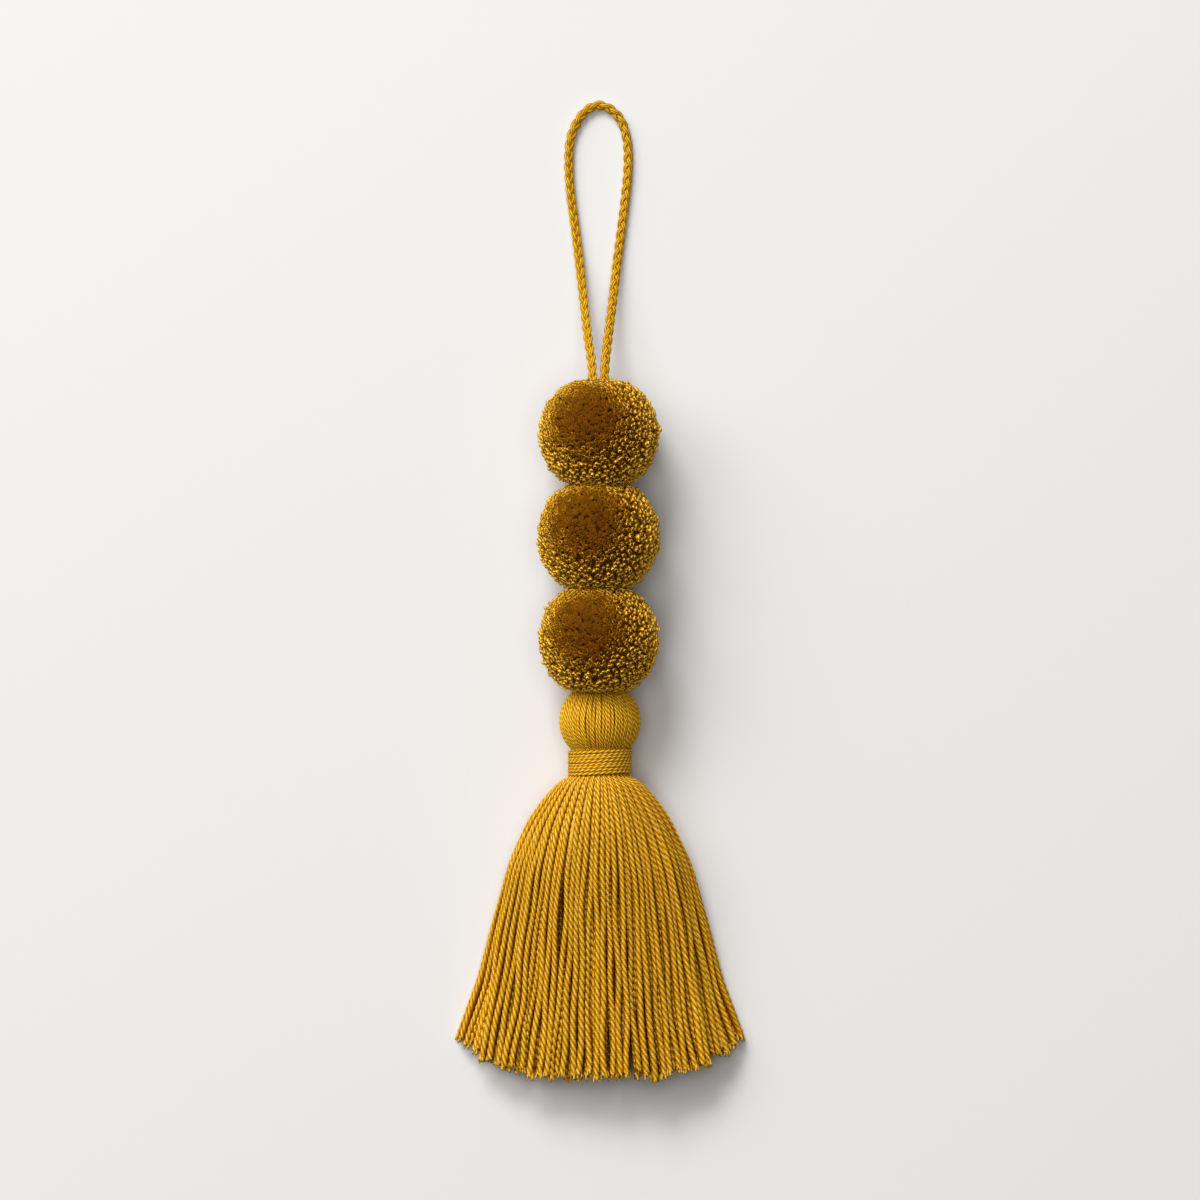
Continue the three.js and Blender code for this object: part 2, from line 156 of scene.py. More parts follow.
class CharmYarnSettings(bpy.types.PropertyGroup):
    """The dyed yarn that the whole charm is made of."""

    body: colour_setting(
        name="Yarn",
        description="Colour of the yarn's sides",
        default=(0.77, 0.358, 0.0035),
    )
    # Paler raised fibres, and a painted highlight where they lie on the ply crests.
    light: colour_setting(
        name="Paler fibres and painted highlight",
        description="Colour of the paler fibres that stand proud of the yarn, which also paints the highlight on the ply crests",
        default=(1.0, 0.69, 0.17),
    )
    # Painted shade: this colour darkens the grooves between plies, the yarns' flanks and roots,
    # and the cores.
    painted_shade: colour_setting(
        name="Painted shade",
        description="Colour of the painted shade between plies, down the flanks, at the yarns' roots and in the cores",
        default=(0.18, 0.036, 0.0002),
    )
    # Painted shade on the pompoms' cut ends, which the pompoms also take between their plies.
    cut: colour_setting(
        name="Painted shade of cut ends",
        description="Colour of the painted shade on the fibres' ends where a pompom is sheared",
        default=(0.088, 0.0205, 0.0002),
    )


class CharmLoopSettings(bpy.types.PropertyGroup):
    """The plaited cord of the hanging loop."""

    diameter: length_setting(
        name="Cord diameter",
        description="Thickness of the plaited cord",
        default=2.9 * MM,
    )
    plait_length: length_setting(
        name="Plait length",
        description="Length in which a strand of the plait swings out and back once",
        default=9.9 * MM,
    )


class CharmPompomSettings(bpy.types.PropertyGroup):
    """The three pompoms of cut yarn."""

    ply_ends: IntProperty(
        name="Cut plies",
        description="Painted shade of cut ends of the yarn's plies on each pompom",
        min=100,
        default=2000,
    )
    ply_radius: length_setting(
        name="Ply radius",
        description="Radius of one ply of a cut yarn",
        default=0.52 * MM,
    )
    unevenness: length_setting(
        name="Unevenness",
        description="How much the cut ends differ in height",
        default=0.34 * MM,
    )


class CharmTasselSettings(bpy.types.PropertyGroup):
    """The tassel's plied yarns."""

    yarn_radius: length_setting(
        name="Yarn radius",
        description="Radius of the skirt's yarn where it has room",
        default=1.16 * MM,
    )
    head_yarns: IntProperty(
        name="Yarns round the head",
        description="Yarns laid side by side round the head",
        min=12,
        default=76,
    )
    skirt_yarns: IntProperty(
        name="Yarns across the skirt",
        description="Yarns side by side over the skirt's upper face",
        min=8,
        default=38,
    )
    ply_angle: FloatProperty(
        name="Ply angle",
        description="Slant of the plies against the yarn's length",
        subtype="ANGLE",
        default=math.radians(31),
    )
    wrap_turns: IntProperty(
        name="Turns of the wrap",
        description="Turns of yarn wound round the neck",
        min=2,
        default=8,
    )


class CharmStageSettings(bpy.types.PropertyGroup):
    """The surface, the light and the camera."""

    surface: colour_setting(
        name="Surface",
        description="Colour of the pale surface below the charm",
        default=(0.8, 0.796, 0.789),
    )
    key_power: FloatProperty(
        name="Key light",
        description="Power of the soft light at the upper left",
        subtype="POWER",
        default=53,
    )
    overhead_power: FloatProperty(
        name="Overhead light",
        description="Power of the wide light straight above",
        subtype="POWER",
        default=78,
    )
    glow_strength: FloatProperty(
        name="Glow",
        description="Strength of the broad light round the key light",
        default=1.1,
    )
    window_strength: FloatProperty(
        name="Window",
        description="Strength of the soft light at the left",
        default=4.5,
    )
    camera_distance: length_setting(
        name="Camera distance",
        description="Distance of the camera above the charm",
        default=6.0,
    )
    view_width: length_setting(
        name="View width",
        description="Width of what the camera sees at the charm",
        default=366.6 * MM,
    )


# Lines and rings


def unit(vectors):
    """The vectors at length one."""
    return vectors / np.linalg.norm(vectors, axis=-1, keepdims=True)


def ease(value, low, high):
    """Rises smoothly from 0 at low to 1 at high."""
    part = np.clip((value - low) / (high - low), 0, 1)
    return part * part * (3 - 2 * part)


# An uneven line is a sum of waves: how many of each fit in its length, the range of their
# sizes, what holds the longest ones back and the part of the sum that is kept.
WANDER_WAVES = (0.7, 1.6, 3.1)
WANDER_SIZES = (0.4, 1.0)
WANDER_HOLD = 0.3
WANDER_SCALE = 0.6


def wander(random, count, along, waves=WANDER_WAVES):
    """Smooth uneven lines, one a row, that stay about between -1 and 1 over along."""
    total = np.zeros((count, len(along)))
    for wave in waves:
        phase = random.uniform(0, FULL_TURN, (count, 1))
        size = random.uniform(*WANDER_SIZES, (count, 1)) / math.sqrt(wave + WANDER_HOLD)
        total += size * np.sin(FULL_TURN * wave * along + phase)
    return WANDER_SCALE * total


# Points on each span of a smooth line before it is divided evenly.
SPAN_POINTS = 32


def smooth_route(points, step):
    """Evenly spaced points, about step apart, on a smooth line through the given points."""
    points = np.asarray(points, float)
    first = 2 * points[0] - points[1]
    last = 2 * points[-1] - points[-2]
    guides = np.vstack([first, points, last])
    rows = []
    for a, b, c, d in zip(guides, guides[1:], guides[2:], guides[3:]):
        gaps = [np.linalg.norm(b - a), np.linalg.norm(c - b), np.linalg.norm(d - c)]
        k0, k1, k2, k3 = np.cumsum([0, *np.sqrt(gaps)])
        t = np.linspace(k1, k2, SPAN_POINTS + 1)[:-1, None]
        ab = ((k1 - t) * a + (t - k0) * b) / (k1 - k0)
        bc = ((k2 - t) * b + (t - k1) * c) / (k2 - k1)
        cd = ((k3 - t) * c + (t - k2) * d) / (k3 - k2)
        abc = ((k2 - t) * ab + (t - k0) * bc) / (k2 - k0)
        bcd = ((k3 - t) * bc + (t - k1) * cd) / (k3 - k1)
        rows.append(((k2 - t) * abc + (t - k1) * bcd) / (k2 - k1))
    line = np.vstack([*rows, points[-1:]])
    travelled = lengths_along(line)
    count = int(round(travelled[-1] / step)) + 1
    return resample(line, travelled, np.linspace(0, travelled[-1], count))


def lengths_along(line):
    """The length of a line up to each of its points."""
    steps = np.linalg.norm(np.diff(line, axis=0), axis=1)
    return np.concatenate([[0], np.cumsum(steps)])


def resample(line, travelled, wanted):
    """The points of a line at the wanted values of what its points have travelled."""
    return np.stack([np.interp(wanted, travelled, column) for column in line.T], -1)


def frames_along(centres, outward):
    """Along, up and side directions at each point of the rows of centres."""
    along = unit(np.gradient(centres, axis=-2))
    return (along, *across_line(along, outward))


def across_line(along, outward):
    """Two directions square to along and to each other, the first nearest to outward."""
    up = unit(outward - (outward * along).sum(-1, keepdims=True) * along)
    return up, np.cross(up, along)


# How far apart two neighbouring yarns start on the pattern of fibres, in millimetres.
LAY_START = 17.0


class Skin:
    """Closed tubes round rows of middle lines, as arrays of corners and faces.

    centres and outward are (tubes, rings, 3), reach is (tubes, rings, sides) and holds how far
    each corner lies from its middle line. turn, (tubes, rings), rotates the rings, push moves
    corners along the line, and domes are how far the two ends stand out. A tube of one ring has
    its two end points in ends. depth, low where shade is painted and high where the highlight is,
    and cut, shaped as reach, and tone, one a tube, are what the materials read; end_marks are the
    depth and cut of the two end points.
    """

    def __init__(self, centres, outward, reach, depth, turn=0.0, push=None, domes=(0.0, 0.0),
                 ends=None, cut=None, tone=None, end_marks=((0, 0), (1, 0))):
        tubes, rings, sides = reach.shape
        if ends is None:
            along, up, side = frames_along(centres, outward)
            roots = centres[:, 0] - domes[0] * along[:, 0]
            tips = centres[:, -1] + np.reshape(domes[1], (-1, 1)) * along[:, -1]
        else:
            roots, tips = ends
            along = unit(tips - roots)[:, None]
            up, side = across_line(along, outward)
        turn = np.broadcast_to(turn, (tubes, rings))
        angle = ring_angles(sides, turn)
        points = centres[:, :, None] + (reach * np.cos(angle))[..., None] * up[:, :, None]
        points = points + (reach * np.sin(angle))[..., None] * side[:, :, None]
        if push is not None:
            points = points + push[..., None] * along[:, :, None]
        self.points = np.concatenate([points.reshape(-1, 3), roots, tips])
        self.number_faces(tubes, rings, sides)
        self.lay_out(centres, turn, tubes, rings, sides)
        self.mark(reach, depth, cut, tone, end_marks)

    def number_faces(self, tubes, rings, sides):
        """Quads along each tube, and a fan of triangles at each end."""
        corner = np.arange(tubes * rings * sides).reshape(tubes, rings, sides)
        beside = np.roll(corner, -1, axis=2)
        quads = [corner[:, :-1], corner[:, 1:], beside[:, 1:], beside[:, :-1]]
        self.quads = np.stack(quads, -1).reshape(-1, 4)
        end = tubes * rings * sides + np.arange(2 * tubes).reshape(2, tubes, 1)
        root = np.broadcast_to(end[0], (tubes, sides))
        tip = np.broadcast_to(end[1], (tubes, sides))
        root_fan = np.stack([root, corner[:, 0], beside[:, 0]], -1)
        tip_fan = np.stack([tip, beside[:, -1], corner[:, -1]], -1)
        self.triangles = np.concatenate([root_fan, tip_fan]).reshape(-1, 3)

    def lay_out(self, centres, turn, tubes, rings, sides):
        """Places on the yarn for its fibres: turns round it, and millimetres along it."""
        steps = np.linalg.norm(np.diff(centres, axis=1), axis=2) / MM
        travelled = np.concatenate([np.zeros((tubes, 1)), np.cumsum(steps, 1)], 1)
        start = LAY_START * np.arange(tubes)[:, None]
        v = np.broadcast_to((travelled + start)[..., None], (tubes, rings, sides))
        u = np.arange(sides) / sides + turn[..., None] / FULL_TURN
        beside = u + 1 / sides
        quad_u = [u[:, :-1], u[:, 1:], beside[:, 1:], beside[:, :-1]]
        quad_v = [v[:, :-1], v[:, 1:], v[:, 1:], v[:, :-1]]
        quads = np.stack([np.stack(quad_u, -1), np.stack(quad_v, -1)], -1)
        fans = []
        for ring, order in ((0, (u, beside)), (-1, (beside, u))):
            middle = 0.5 * (order[0][:, ring] + order[1][:, ring])
            fan_u = np.stack([middle, order[0][:, ring], order[1][:, ring]], -1)
            fan_v = np.repeat(v[:, ring][..., None], 3, -1)
            fans.append(np.stack([fan_u, fan_v], -1))
        self.quad_lay = quads.reshape(-1, 2)
        self.triangle_lay = np.concatenate(fans).reshape(-1, 2)

    def mark(self, reach, depth, cut, tone, end_marks):
        """What the materials read: tone, the depth mark for painted shade and highlight, and how
        much it is a cut end.
        """
        tubes = len(reach)
        tone = np.full(tubes, MIDDLE_TONE) if tone is None else tone
        cut = np.zeros_like(reach) if cut is None else cut
        shade = np.broadcast_to(tone[:, None, None], reach.shape)
        rings = np.stack([shade, depth, cut, np.ones_like(reach)], -1).reshape(-1, 4)
        ends = [
            np.stack([tone, np.full(tubes, d), np.full(tubes, c), np.ones(tubes)], -1)
            for d, c in end_marks
        ]
        self.marks = np.concatenate([rings, *ends])


def make_piece(name, skins, material, slot, *nodes):
    """One object from one or more skins, which rides on the charm and stands for its nodes."""
    starts = np.cumsum([0] + [len(skin.points) for skin in skins])
    quads = np.concatenate([skin.quads + at for skin, at in zip(skins, starts)])
    triangles = np.concatenate([skin.triangles + at for skin, at in zip(skins, starts)])
    points = np.concatenate([skin.points for skin in skins])
    lay = np.concatenate(
        [skin.quad_lay for skin in skins] + [skin.triangle_lay for skin in skins]
    )
    marks = np.concatenate([skin.marks for skin in skins])
    corners = np.concatenate([quads.ravel(), triangles.ravel()])
    sizes = np.concatenate([np.full(len(quads), 4), np.full(len(triangles), 3)])
    mesh = bpy.data.meshes.new(name)
    mesh.vertices.add(len(points))
    mesh.vertices.foreach_set("co", points.ravel())
    mesh.loops.add(len(corners))
    mesh.loops.foreach_set("vertex_index", corners)
    mesh.polygons.add(len(sizes))
    mesh.polygons.foreach_set("loop_start", np.concatenate([[0], np.cumsum(sizes)[:-1]]))
    mesh.polygons.foreach_set("use_smooth", np.ones(len(sizes), bool))
    mesh.update(calc_edges=True)
    mesh.uv_layers.new(name=LAY).uv.foreach_set("vector", lay.ravel())
    mesh.attributes.new(MARKS, "FLOAT_COLOR", "POINT").data.foreach_set("color", marks.ravel())
    if mesh.validate():
        raise RuntimeError(f"{name} has faces that can't be kept")
    mesh.materials.append(material)
    piece = bpy.data.objects.new(name, mesh)
    bpy.context.scene.collection.objects.link(piece)
    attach(piece, BODY)
    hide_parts(*nodes)
    return piece


# How narrow the valleys between plies are, and how squarely a yarn's side faces outward where its
# painted shade is full and where it ends.
VALLEY_POWER = 1.5
FLANK_RANGE = (0.05, 0.95)


def lobes(count, points_each, valley):
    """A ring's shape with so many plies: 1 at the crests, valley between them."""
    angle = FULL_TURN * np.arange(count * points_each) / points_each
    return 1 - (1 - valley) * (0.5 + 0.5 * np.cos(angle)) ** VALLEY_POWER


def ring_angles(sides, turn):
    """The angle of each corner of the rings from the direction that faces outward."""
    return math.pi + FULL_TURN * np.arange(sides) / sides + turn[..., None]


def ply_painted_shade(crest, turn, groove, flank_shade):
    """A mark for each corner of plied yarns, lowered for painted shade between plies and down the
    yarn's flanks.
    """
    facing = ease(np.cos(ring_angles(len(crest), turn)), *FLANK_RANGE)
    return (1 - groove * (1 - crest)) * (1 - flank_shade * (1 - facing))


def plied(centres, outward, radius, turn, tone, plies, points_each, valley, groove, flank_shade):
    """A skin of plied yarns: the plies' crests wind round the yarn as turn says, with painted
    shade in the grooves and on the flanks.
    """
    shape = lobes(plies, points_each, valley)
    reach = radius[..., None] * shape
    depth = ply_painted_shade((shape - valley) / (1 - valley), turn, groove, flank_shade)
    return Skin(centres, outward, reach, depth, turn, tone=tone)


# The cores inside the pompoms and the head, dark with painted shade: their rings and sides, and
# the marks at their ends, which give the full painted shade.
BALL_RINGS = 24
CORE_SIDES = 48
CORE_END_MARKS = ((0, 0), (0, 0))


def ball(centre, radius, squash):
    """A closed ball as one fat tube along Y, which squash reshapes; its marks give it the full
    painted shade.
    """
    polar = np.linspace(0, math.pi, BALL_RINGS + 2)[1:-1]
    reach = np.repeat(radius * np.sin(polar)[:, None], CORE_SIDES, 1)[None]
    line = np.zeros((1, BALL_RINGS, 3))
    line[0, :, 1] = -radius * np.cos(polar)
    outward = np.zeros_like(line)
    outward[..., 2] = 1
    dome = radius * (1 - math.cos(polar[0]))
    core = Skin(line, outward, reach, np.zeros_like(reach), domes=(dome, dome),
                end_marks=CORE_END_MARKS)
    core.points = squash(core.points) + centre
    return core


# Locks of loose fibres at cut ends, in millimetres: how many at each end, how far they stand out
# of it and start below it, their thickness and the length of their points. spread is how far
# they stand to the side, as squares of the end's radius, and gather is how much of that is left
# at their roots. The marks are what the materials read at the root, the ring and the tip: a low
# depth mark at the root is painted shade there, and the fuzz's cut marks give it the painted
# shade of the cut end near its tip. Every lock splays by a part of its length, and none goes
# lower than WISP_FLOOR.
BROOM = {"each": 6, "length": (0.4, 1.4), "root": 3.0, "radius": (0.3, 0.42), "point": 0.8,
         "spread": (0.1, 0.85), "gather": 0.8, "marks": ((0.2, 0), (1, 0), (0.95, 0))}
FUZZ = {"each": 7, "length": (-1.0, -0.3), "root": 2.0, "radius": (0.26, 0.36), "point": 0.1,
        "spread": (0.8, 3.4), "gather": 0.35, "marks": ((0, -16), (1, 1), (1, 1))}
WISP_SIDES = 3
WISP_SPLAY = (0.0, 0.35)
WISP_FLOOR = 0.1 * MM


def wisps(centres, outward, radius, tone, random, kind, lift=0.0, shade_factor=1.0):
    """Short locks of fibres at the yarns' cut ends.

    lift makes them stand further out, and the factor after it darkens them with painted shade.
    """
    along, up, side = (part[:, -1] for part in frames_along(centres, outward))
    lift = np.broadcast_to(lift, len(centres))[:, None]
    shade_factor = np.broadcast_to(shade_factor, len(centres))[:, None, None]
    rows = (centres[:, -1], along, up, side, radius[:, -1], tone, lift, shade_factor)
    rows = (np.repeat(row, kind["each"], 0) for row in rows)
    end, along, up, side, radius, tone, lift, shade_factor = rows
    count = len(end)
    angle = random.uniform(0, FULL_TURN, count)
    place = (radius * np.sqrt(random.uniform(*kind["spread"], count)))[:, None]
    across = np.cos(angle)[:, None] * up + np.sin(angle)[:, None] * side
    reach = random.uniform(*kind["length"], (count, 1)) * MM + lift
    splay = random.uniform(*WISP_SPLAY, (count, 1)) * reach
    tips = end + reach * along + (place + splay) * across
    roots = end + kind["gather"] * place * across - kind["root"] * MM * along
    rings = tips - kind["point"] * MM * unit(tips - roots)
    tips[:, 2] = np.maximum(tips[:, 2], WISP_FLOOR)
    size = random.uniform(*kind["radius"], (count, 1, 1)) * MM
    size = np.broadcast_to(size, (count, 1, WISP_SIDES))
    root_marks, ring_marks, tip_marks = kind["marks"]
    depth, cut = (np.full(size.shape, float(mark)) for mark in ring_marks)
    return Skin(rings[:, None], across[:, None], size, depth * shade_factor, ends=(roots, tips),
                cut=cut, tone=tone, end_marks=(root_marks, tip_marks))


# Materials


def new_group(name, inputs, outputs):
    """An empty shader node group with named sockets, and its two end nodes."""
    group = bpy.data.node_groups.new(name, "ShaderNodeTree")
    for label, kind, value in inputs:
        socket = group.interface.new_socket(label, in_out="INPUT", socket_type=kind)
        socket.default_value = value
    for label, kind in outputs:
        group.interface.new_socket(label, in_out="OUTPUT", socket_type=kind)
    return group, group.nodes.new("NodeGroupInput"), group.nodes.new("NodeGroupOutput")


def add_node(tree, kind, links=(), **values):
    """A node with its settings, and with its inputs linked or set."""
    node = tree.nodes.new(kind)
    for name, value in values.items():
        setattr(node, name, value)
    for socket, source in links:
        if isinstance(source, bpy.types.NodeSocket):
            tree.links.new(source, node.inputs[socket])
        else:
            node.inputs[socket].default_value = source
    return node


def add_math(tree, operation, *values):
    """A math node's result."""
    links = list(enumerate(values))
    return add_node(tree, "ShaderNodeMath", links, operation=operation).outputs[0]


def add_mix(tree, factor, a, b):
    """A mixed colour."""
    links = [(0, factor), (6, a), (7, b)]
    return add_node(tree, "ShaderNodeMix", links, data_type="RGBA").outputs[2]


def add_range(tree, value, low, high, new_low=0.0, new_high=1.0):
    """A value eased from one range to another."""
    links = [(0, value), (1, low), (2, high), (3, new_low), (4, new_high)]
    node = add_node(tree, "ShaderNodeMapRange", links, interpolation_type="SMOOTHSTEP")
    return node.outputs[0]


# Which part of the streaks counts as raised fibres, and how finely the streaks are broken up.
STREAK_RANGE = (0.3, 0.7)
STREAK_DETAIL = 3.0


def fibre_group():
    """Fine fibres that run along the yarn: a mask, and their height."""
    group, given, made = new_group(
        "Yarn fibres",
        [
            ("Fibres round", "NodeSocketFloat", 9.0),
            ("Fibres along", "NodeSocketFloat", 0.8),
            ("Raggedness", "NodeSocketFloat", 1.0),
        ],
        [("Mask", "NodeSocketFloat"), ("Height", "NodeSocketFloat")],
    )
    lay = add_node(group, "ShaderNodeUVMap", uv_map=LAY)
    parts = add_node(group, "ShaderNodeSeparateXYZ", [(0, lay.outputs[0])])
    across = add_math(group, "MULTIPLY", parts.outputs[0], given.outputs[0])
    down = add_math(group, "MULTIPLY", parts.outputs[1], given.outputs[1])
    place = add_node(group, "ShaderNodeCombineXYZ", [(0, across), (1, down)])
    streaks = add_node(
        group,
        "ShaderNodeTexNoise",
        [("Vector", place.outputs[0]), ("Scale", 1.0), ("Detail", STREAK_DETAIL),
         ("Distortion", given.outputs[2])],
    )
    mask = add_range(group, streaks.outputs[0], *STREAK_RANGE)
    group.links.new(mask, made.inputs[0])
    group.links.new(streaks.outputs[0], made.inputs[1])
    return group


# Between which marked heights the painted highlight comes up on the paler fibres and how far it
# covers the yarn there, between which marks a yarn turns into the colour of its cut end, which is
# painted shade on the pompoms, and how rough it is off and on the fibres.
HIGHLIGHT_RANGE = (0.55, 1.0)
HIGHLIGHT_COVER = 0.85
CUT_RANGE = (0.25, 0.85)
ROUGHNESS_RANGE = (0.72, 0.58)


def colour_group():
    """The yarn's colour: painted shade between the plies, down the flanks and at the pompoms' cut
    ends, and a painted highlight on the paler raised fibres.
    """
    colour = "NodeSocketColor"
    number = "NodeSocketFloat"
    group, given, made = new_group(
        "Yarn colour and painted light",
        [
            ("Body", colour, (0.6, 0.3, 0.03, 1)),
            ("Light", colour, (0.75, 0.45, 0.07, 1)),
            ("Painted shade colour", colour, (0.2, 0.08, 0.004, 1)),
            ("Cut", colour, (0.17, 0.06, 0.003, 1)),
            ("Fibre mask", number, 0.5),
            ("Tone spread", number, 0.16),
            ("Painted shade until", number, 0.8),
        ],
        [("Color", colour), ("Roughness", number)],
    )
    marks = add_node(group, "ShaderNodeAttribute", attribute_name=MARKS)
    parts = add_node(group, "ShaderNodeSeparateColor", [(0, marks.outputs[0])])
    tone, depth, cut = parts.outputs
    # Painted shade where the depth mark is low, and a painted highlight on the fibres where it is
    # high.
    height = add_range(group, depth, 0.0, given.outputs[6])
    side = add_mix(group, height, given.outputs[2], given.outputs[0])
    highlight_share = add_range(group, depth, *HIGHLIGHT_RANGE, 0.0, HIGHLIGHT_COVER)
    streak = add_math(group, "MULTIPLY", given.outputs[4], highlight_share)
    side = add_mix(group, streak, side, given.outputs[1])
    end = add_range(group, cut, *CUT_RANGE)
    whole = add_mix(group, end, side, given.outputs[3])
    spread = add_math(group, "SUBTRACT", tone, MIDDLE_TONE)
    spread = add_math(group, "MULTIPLY", spread, given.outputs[5])
    value = add_math(group, "ADD", spread, 1.0)
    finished = add_node(group, "ShaderNodeHueSaturation", [(2, value), (4, whole)])
    rough = add_range(group, given.outputs[4], 0.0, 1.0, *ROUGHNESS_RANGE)
    group.links.new(finished.outputs[0], made.inputs[0])
    group.links.new(rough, made.inputs[1])
    return group


def shared_group(name, build):
    """A node group that is built once and then used by every material that needs it."""
    return bpy.data.node_groups.get(name) or build()


def tinted(colour, factor):
    """A colour made lighter or darker in the same hue, with its alpha."""
    factor = min(factor, 1.0 / max(colour))
    return (*(part * factor for part in colour), 1.0)


# How high the fibres stand in relief, and the soft shine of the yarn.
FIBRE_RELIEF = 0.12 * MM
YARN_SHINE = {
    "IOR": 1.45,
    "Specular IOR Level": 0.12,
    "Specular Tint": (1.0, 0.72, 0.22, 1),
    "Sheen Roughness": 0.45,
    "Sheen Tint": (1.0, 0.56, 0.05, 1),
}


def yarn_material(name, yarn, brightness=1.0, cut=None, painted_shade=None, sheen=0.06,
                  fibres=(9.0, 0.8), bump=0.5, shade_until=0.95, tone_spread=0.24, greener=1.0):
    """A material for plied yarn, from the shared colour and fibre groups.

    brightness makes lighter and darker copies of the one yarn for its pieces, which is painted
    light and shade, and greener changes their hue. cut stands in for the highlight colour at the
    cut ends and the argument after it for the colour of the painted shade, and tone_spread is how
    much yarns differ. fibres is how many there are round the yarn and along a millimetre, bump is
    the strength of their relief, and the argument after it is the marked height up to which the
    yarn shows painted shade.
    """
    material = bpy.data.materials.new(name)
    material.use_nodes = True
    tree = material.node_tree
    shader = tree.nodes["Principled BSDF"]
    fibre = add_node(tree, "ShaderNodeGroup",
                     node_tree=shared_group("Yarn fibres", fibre_group))
    fibre.inputs["Fibres round"].default_value = fibres[0]
    fibre.inputs["Fibres along"].default_value = fibres[1]
    dyed = add_node(tree, "ShaderNodeGroup",
                    node_tree=shared_group("Yarn colour and painted light", colour_group))
    colours = {"Body": yarn.body, "Light": yarn.light, "Painted shade colour": painted_shade or yarn.painted_shade,
               "Cut": cut or yarn.light}
    for label, colour in colours.items():
        colour = (colour[0], colour[1] * greener, colour[2])
        dyed.inputs[label].default_value = tinted(colour, brightness)
    dyed.inputs["Tone spread"].default_value = tone_spread
    dyed.inputs["Painted shade until"].default_value = shade_until
    tree.links.new(fibre.outputs["Mask"], dyed.inputs["Fibre mask"])
    relief = add_node(tree, "ShaderNodeBump",
                      [("Strength", bump), ("Distance", FIBRE_RELIEF),
                       ("Height", fibre.outputs["Height"])])
    tree.links.new(dyed.outputs["Color"], shader.inputs["Base Color"])
    tree.links.new(dyed.outputs["Roughness"], shader.inputs["Roughness"])
    tree.links.new(relief.outputs[0], shader.inputs["Normal"])
    shader.inputs["Sheen Weight"].default_value = sheen
    for label, value in YARN_SHINE.items():
        shader.inputs[label].default_value = value
    return material


# Stage


def aim(thing, target):
    """Turns a light toward a point."""
    direction = Vector(target) - thing.location
    thing.rotation_euler = direction.to_track_quat("-Z", "Y").to_euler()


class CHARM_OT_stage(bpy.types.Operator):
    """Make the camera, the soft light from the upper left and the pale surface"""

    bl_idname = "charm.stage"
    bl_label = "Camera, light and surface"

    def execute(self, context):
        settings = context.scene.charm_stage
        make_camera(context.scene, settings)
        make_light(context.scene, settings)
        make_surface(context.scene, settings)
        return {"FINISHED"}


# The point that the camera and the lamps look at, and the width of the camera's sensor in
# millimetres.
VIEW_MIDDLE = (0.0, 39.4 * MM, 18.0 * MM)
SENSOR_WIDTH = 36


def make_camera(scene, settings):
    """The camera looks straight down on the charm, with the loop at the top of the picture."""
    data = bpy.data.cameras.new("camera")
    data.sensor_width = SENSOR_WIDTH
    data.lens = data.sensor_width * settings.camera_distance / settings.view_width
    data.clip_end = 4 * settings.camera_distance
    camera = bpy.data.objects.new("camera", data)
    camera.location = Vector(VIEW_MIDDLE) + Vector((0, 0, settings.camera_distance))
    scene.collection.objects.link(camera)
    scene.camera = camera


# Direction, distance and width of the lamps, in metres, and their tints. The glow and the window
# light up the world round a direction; the focus says how strongly their light gathers there.
KEY_DIRECTION = (-0.254, 0.730, 0.635)
KEY_DISTANCE = 3.0
KEY_WIDTH = 1.25
KEY_TINT = (1.0, 1.0, 1.0)
OVERHEAD_DIRECTION = (0.0, 0.0, 1.0)
OVERHEAD_DISTANCE = 5.0
OVERHEAD_WIDTH = 3.5
FILL_TINT = (1.0, 0.99, 0.975)
GLOW_FOCUS = 7.0
WINDOW_DIRECTION = (-0.64, 0.46, 0.615)
WINDOW_FOCUS = 20.0


def make_light(scene, settings):
    """A soft light from the upper left with a broad glow round it, and a wide one overhead."""
    add_lamp(scene, "key_light", KEY_DIRECTION, KEY_DISTANCE, KEY_WIDTH,
             settings.key_power, KEY_TINT)
    add_lamp(scene, "overhead_light", OVERHEAD_DIRECTION, OVERHEAD_DISTANCE, OVERHEAD_WIDTH,
             settings.overhead_power, FILL_TINT)
    world = bpy.data.worlds.new("studio")
    world.use_nodes = True
    tree = world.node_tree
    background = tree.nodes["Background"]
    place = add_node(tree, "ShaderNodeTexCoord").outputs["Generated"]
    glow = add_lobe(tree, place, KEY_DIRECTION, GLOW_FOCUS, settings.glow_strength)
    window = add_lobe(tree, place, WINDOW_DIRECTION, WINDOW_FOCUS, settings.window_strength)
    tree.links.new(add_math(tree, "ADD", glow, window), background.inputs[1])
    background.inputs[0].default_value = (*FILL_TINT, 1)
    scene.world = world
    scene.view_settings.view_transform = "Standard"


def add_lobe(tree, place, direction, focus, strength):
    """Light that is strongest in one direction and fades to all sides of it."""
    toward = add_node(tree, "ShaderNodeVectorMath", [(0, place), (1, direction)],
                      operation="DOT_PRODUCT")
    facing = add_math(tree, "MAXIMUM", toward.outputs["Value"], 0.0)
    return add_math(tree, "MULTIPLY", add_math(tree, "POWER", facing, focus), strength)


def add_lamp(scene, name, direction, distance, width, power, tint):
    """A round soft lamp that shines on the charm and isn't seen itself."""
    data = bpy.data.lights.new(name, "AREA")
    data.shape = "DISK"
    data.size = width
    data.energy = power
    data.color = tint
    lamp = bpy.data.objects.new(name, data)
    lamp.location = Vector(VIEW_MIDDLE) + distance * Vector(direction)
    aim(lamp, VIEW_MIDDLE)
    lamp.visible_camera = False
    scene.collection.objects.link(lamp)


# Half the surface's width in metres, which way and how fast its painted light grows toward the
# upper left, how dark and light it gets, and its dull finish.
SURFACE_HALF = 2.5
PAINTED_LIGHT_SLOPE = (-1.9, 0.8, 0.0)
PAINTED_LIGHT_TONES = (0.94, 1.06)
SURFACE_ROUGHNESS = 0.9
SURFACE_SHINE = 0.2


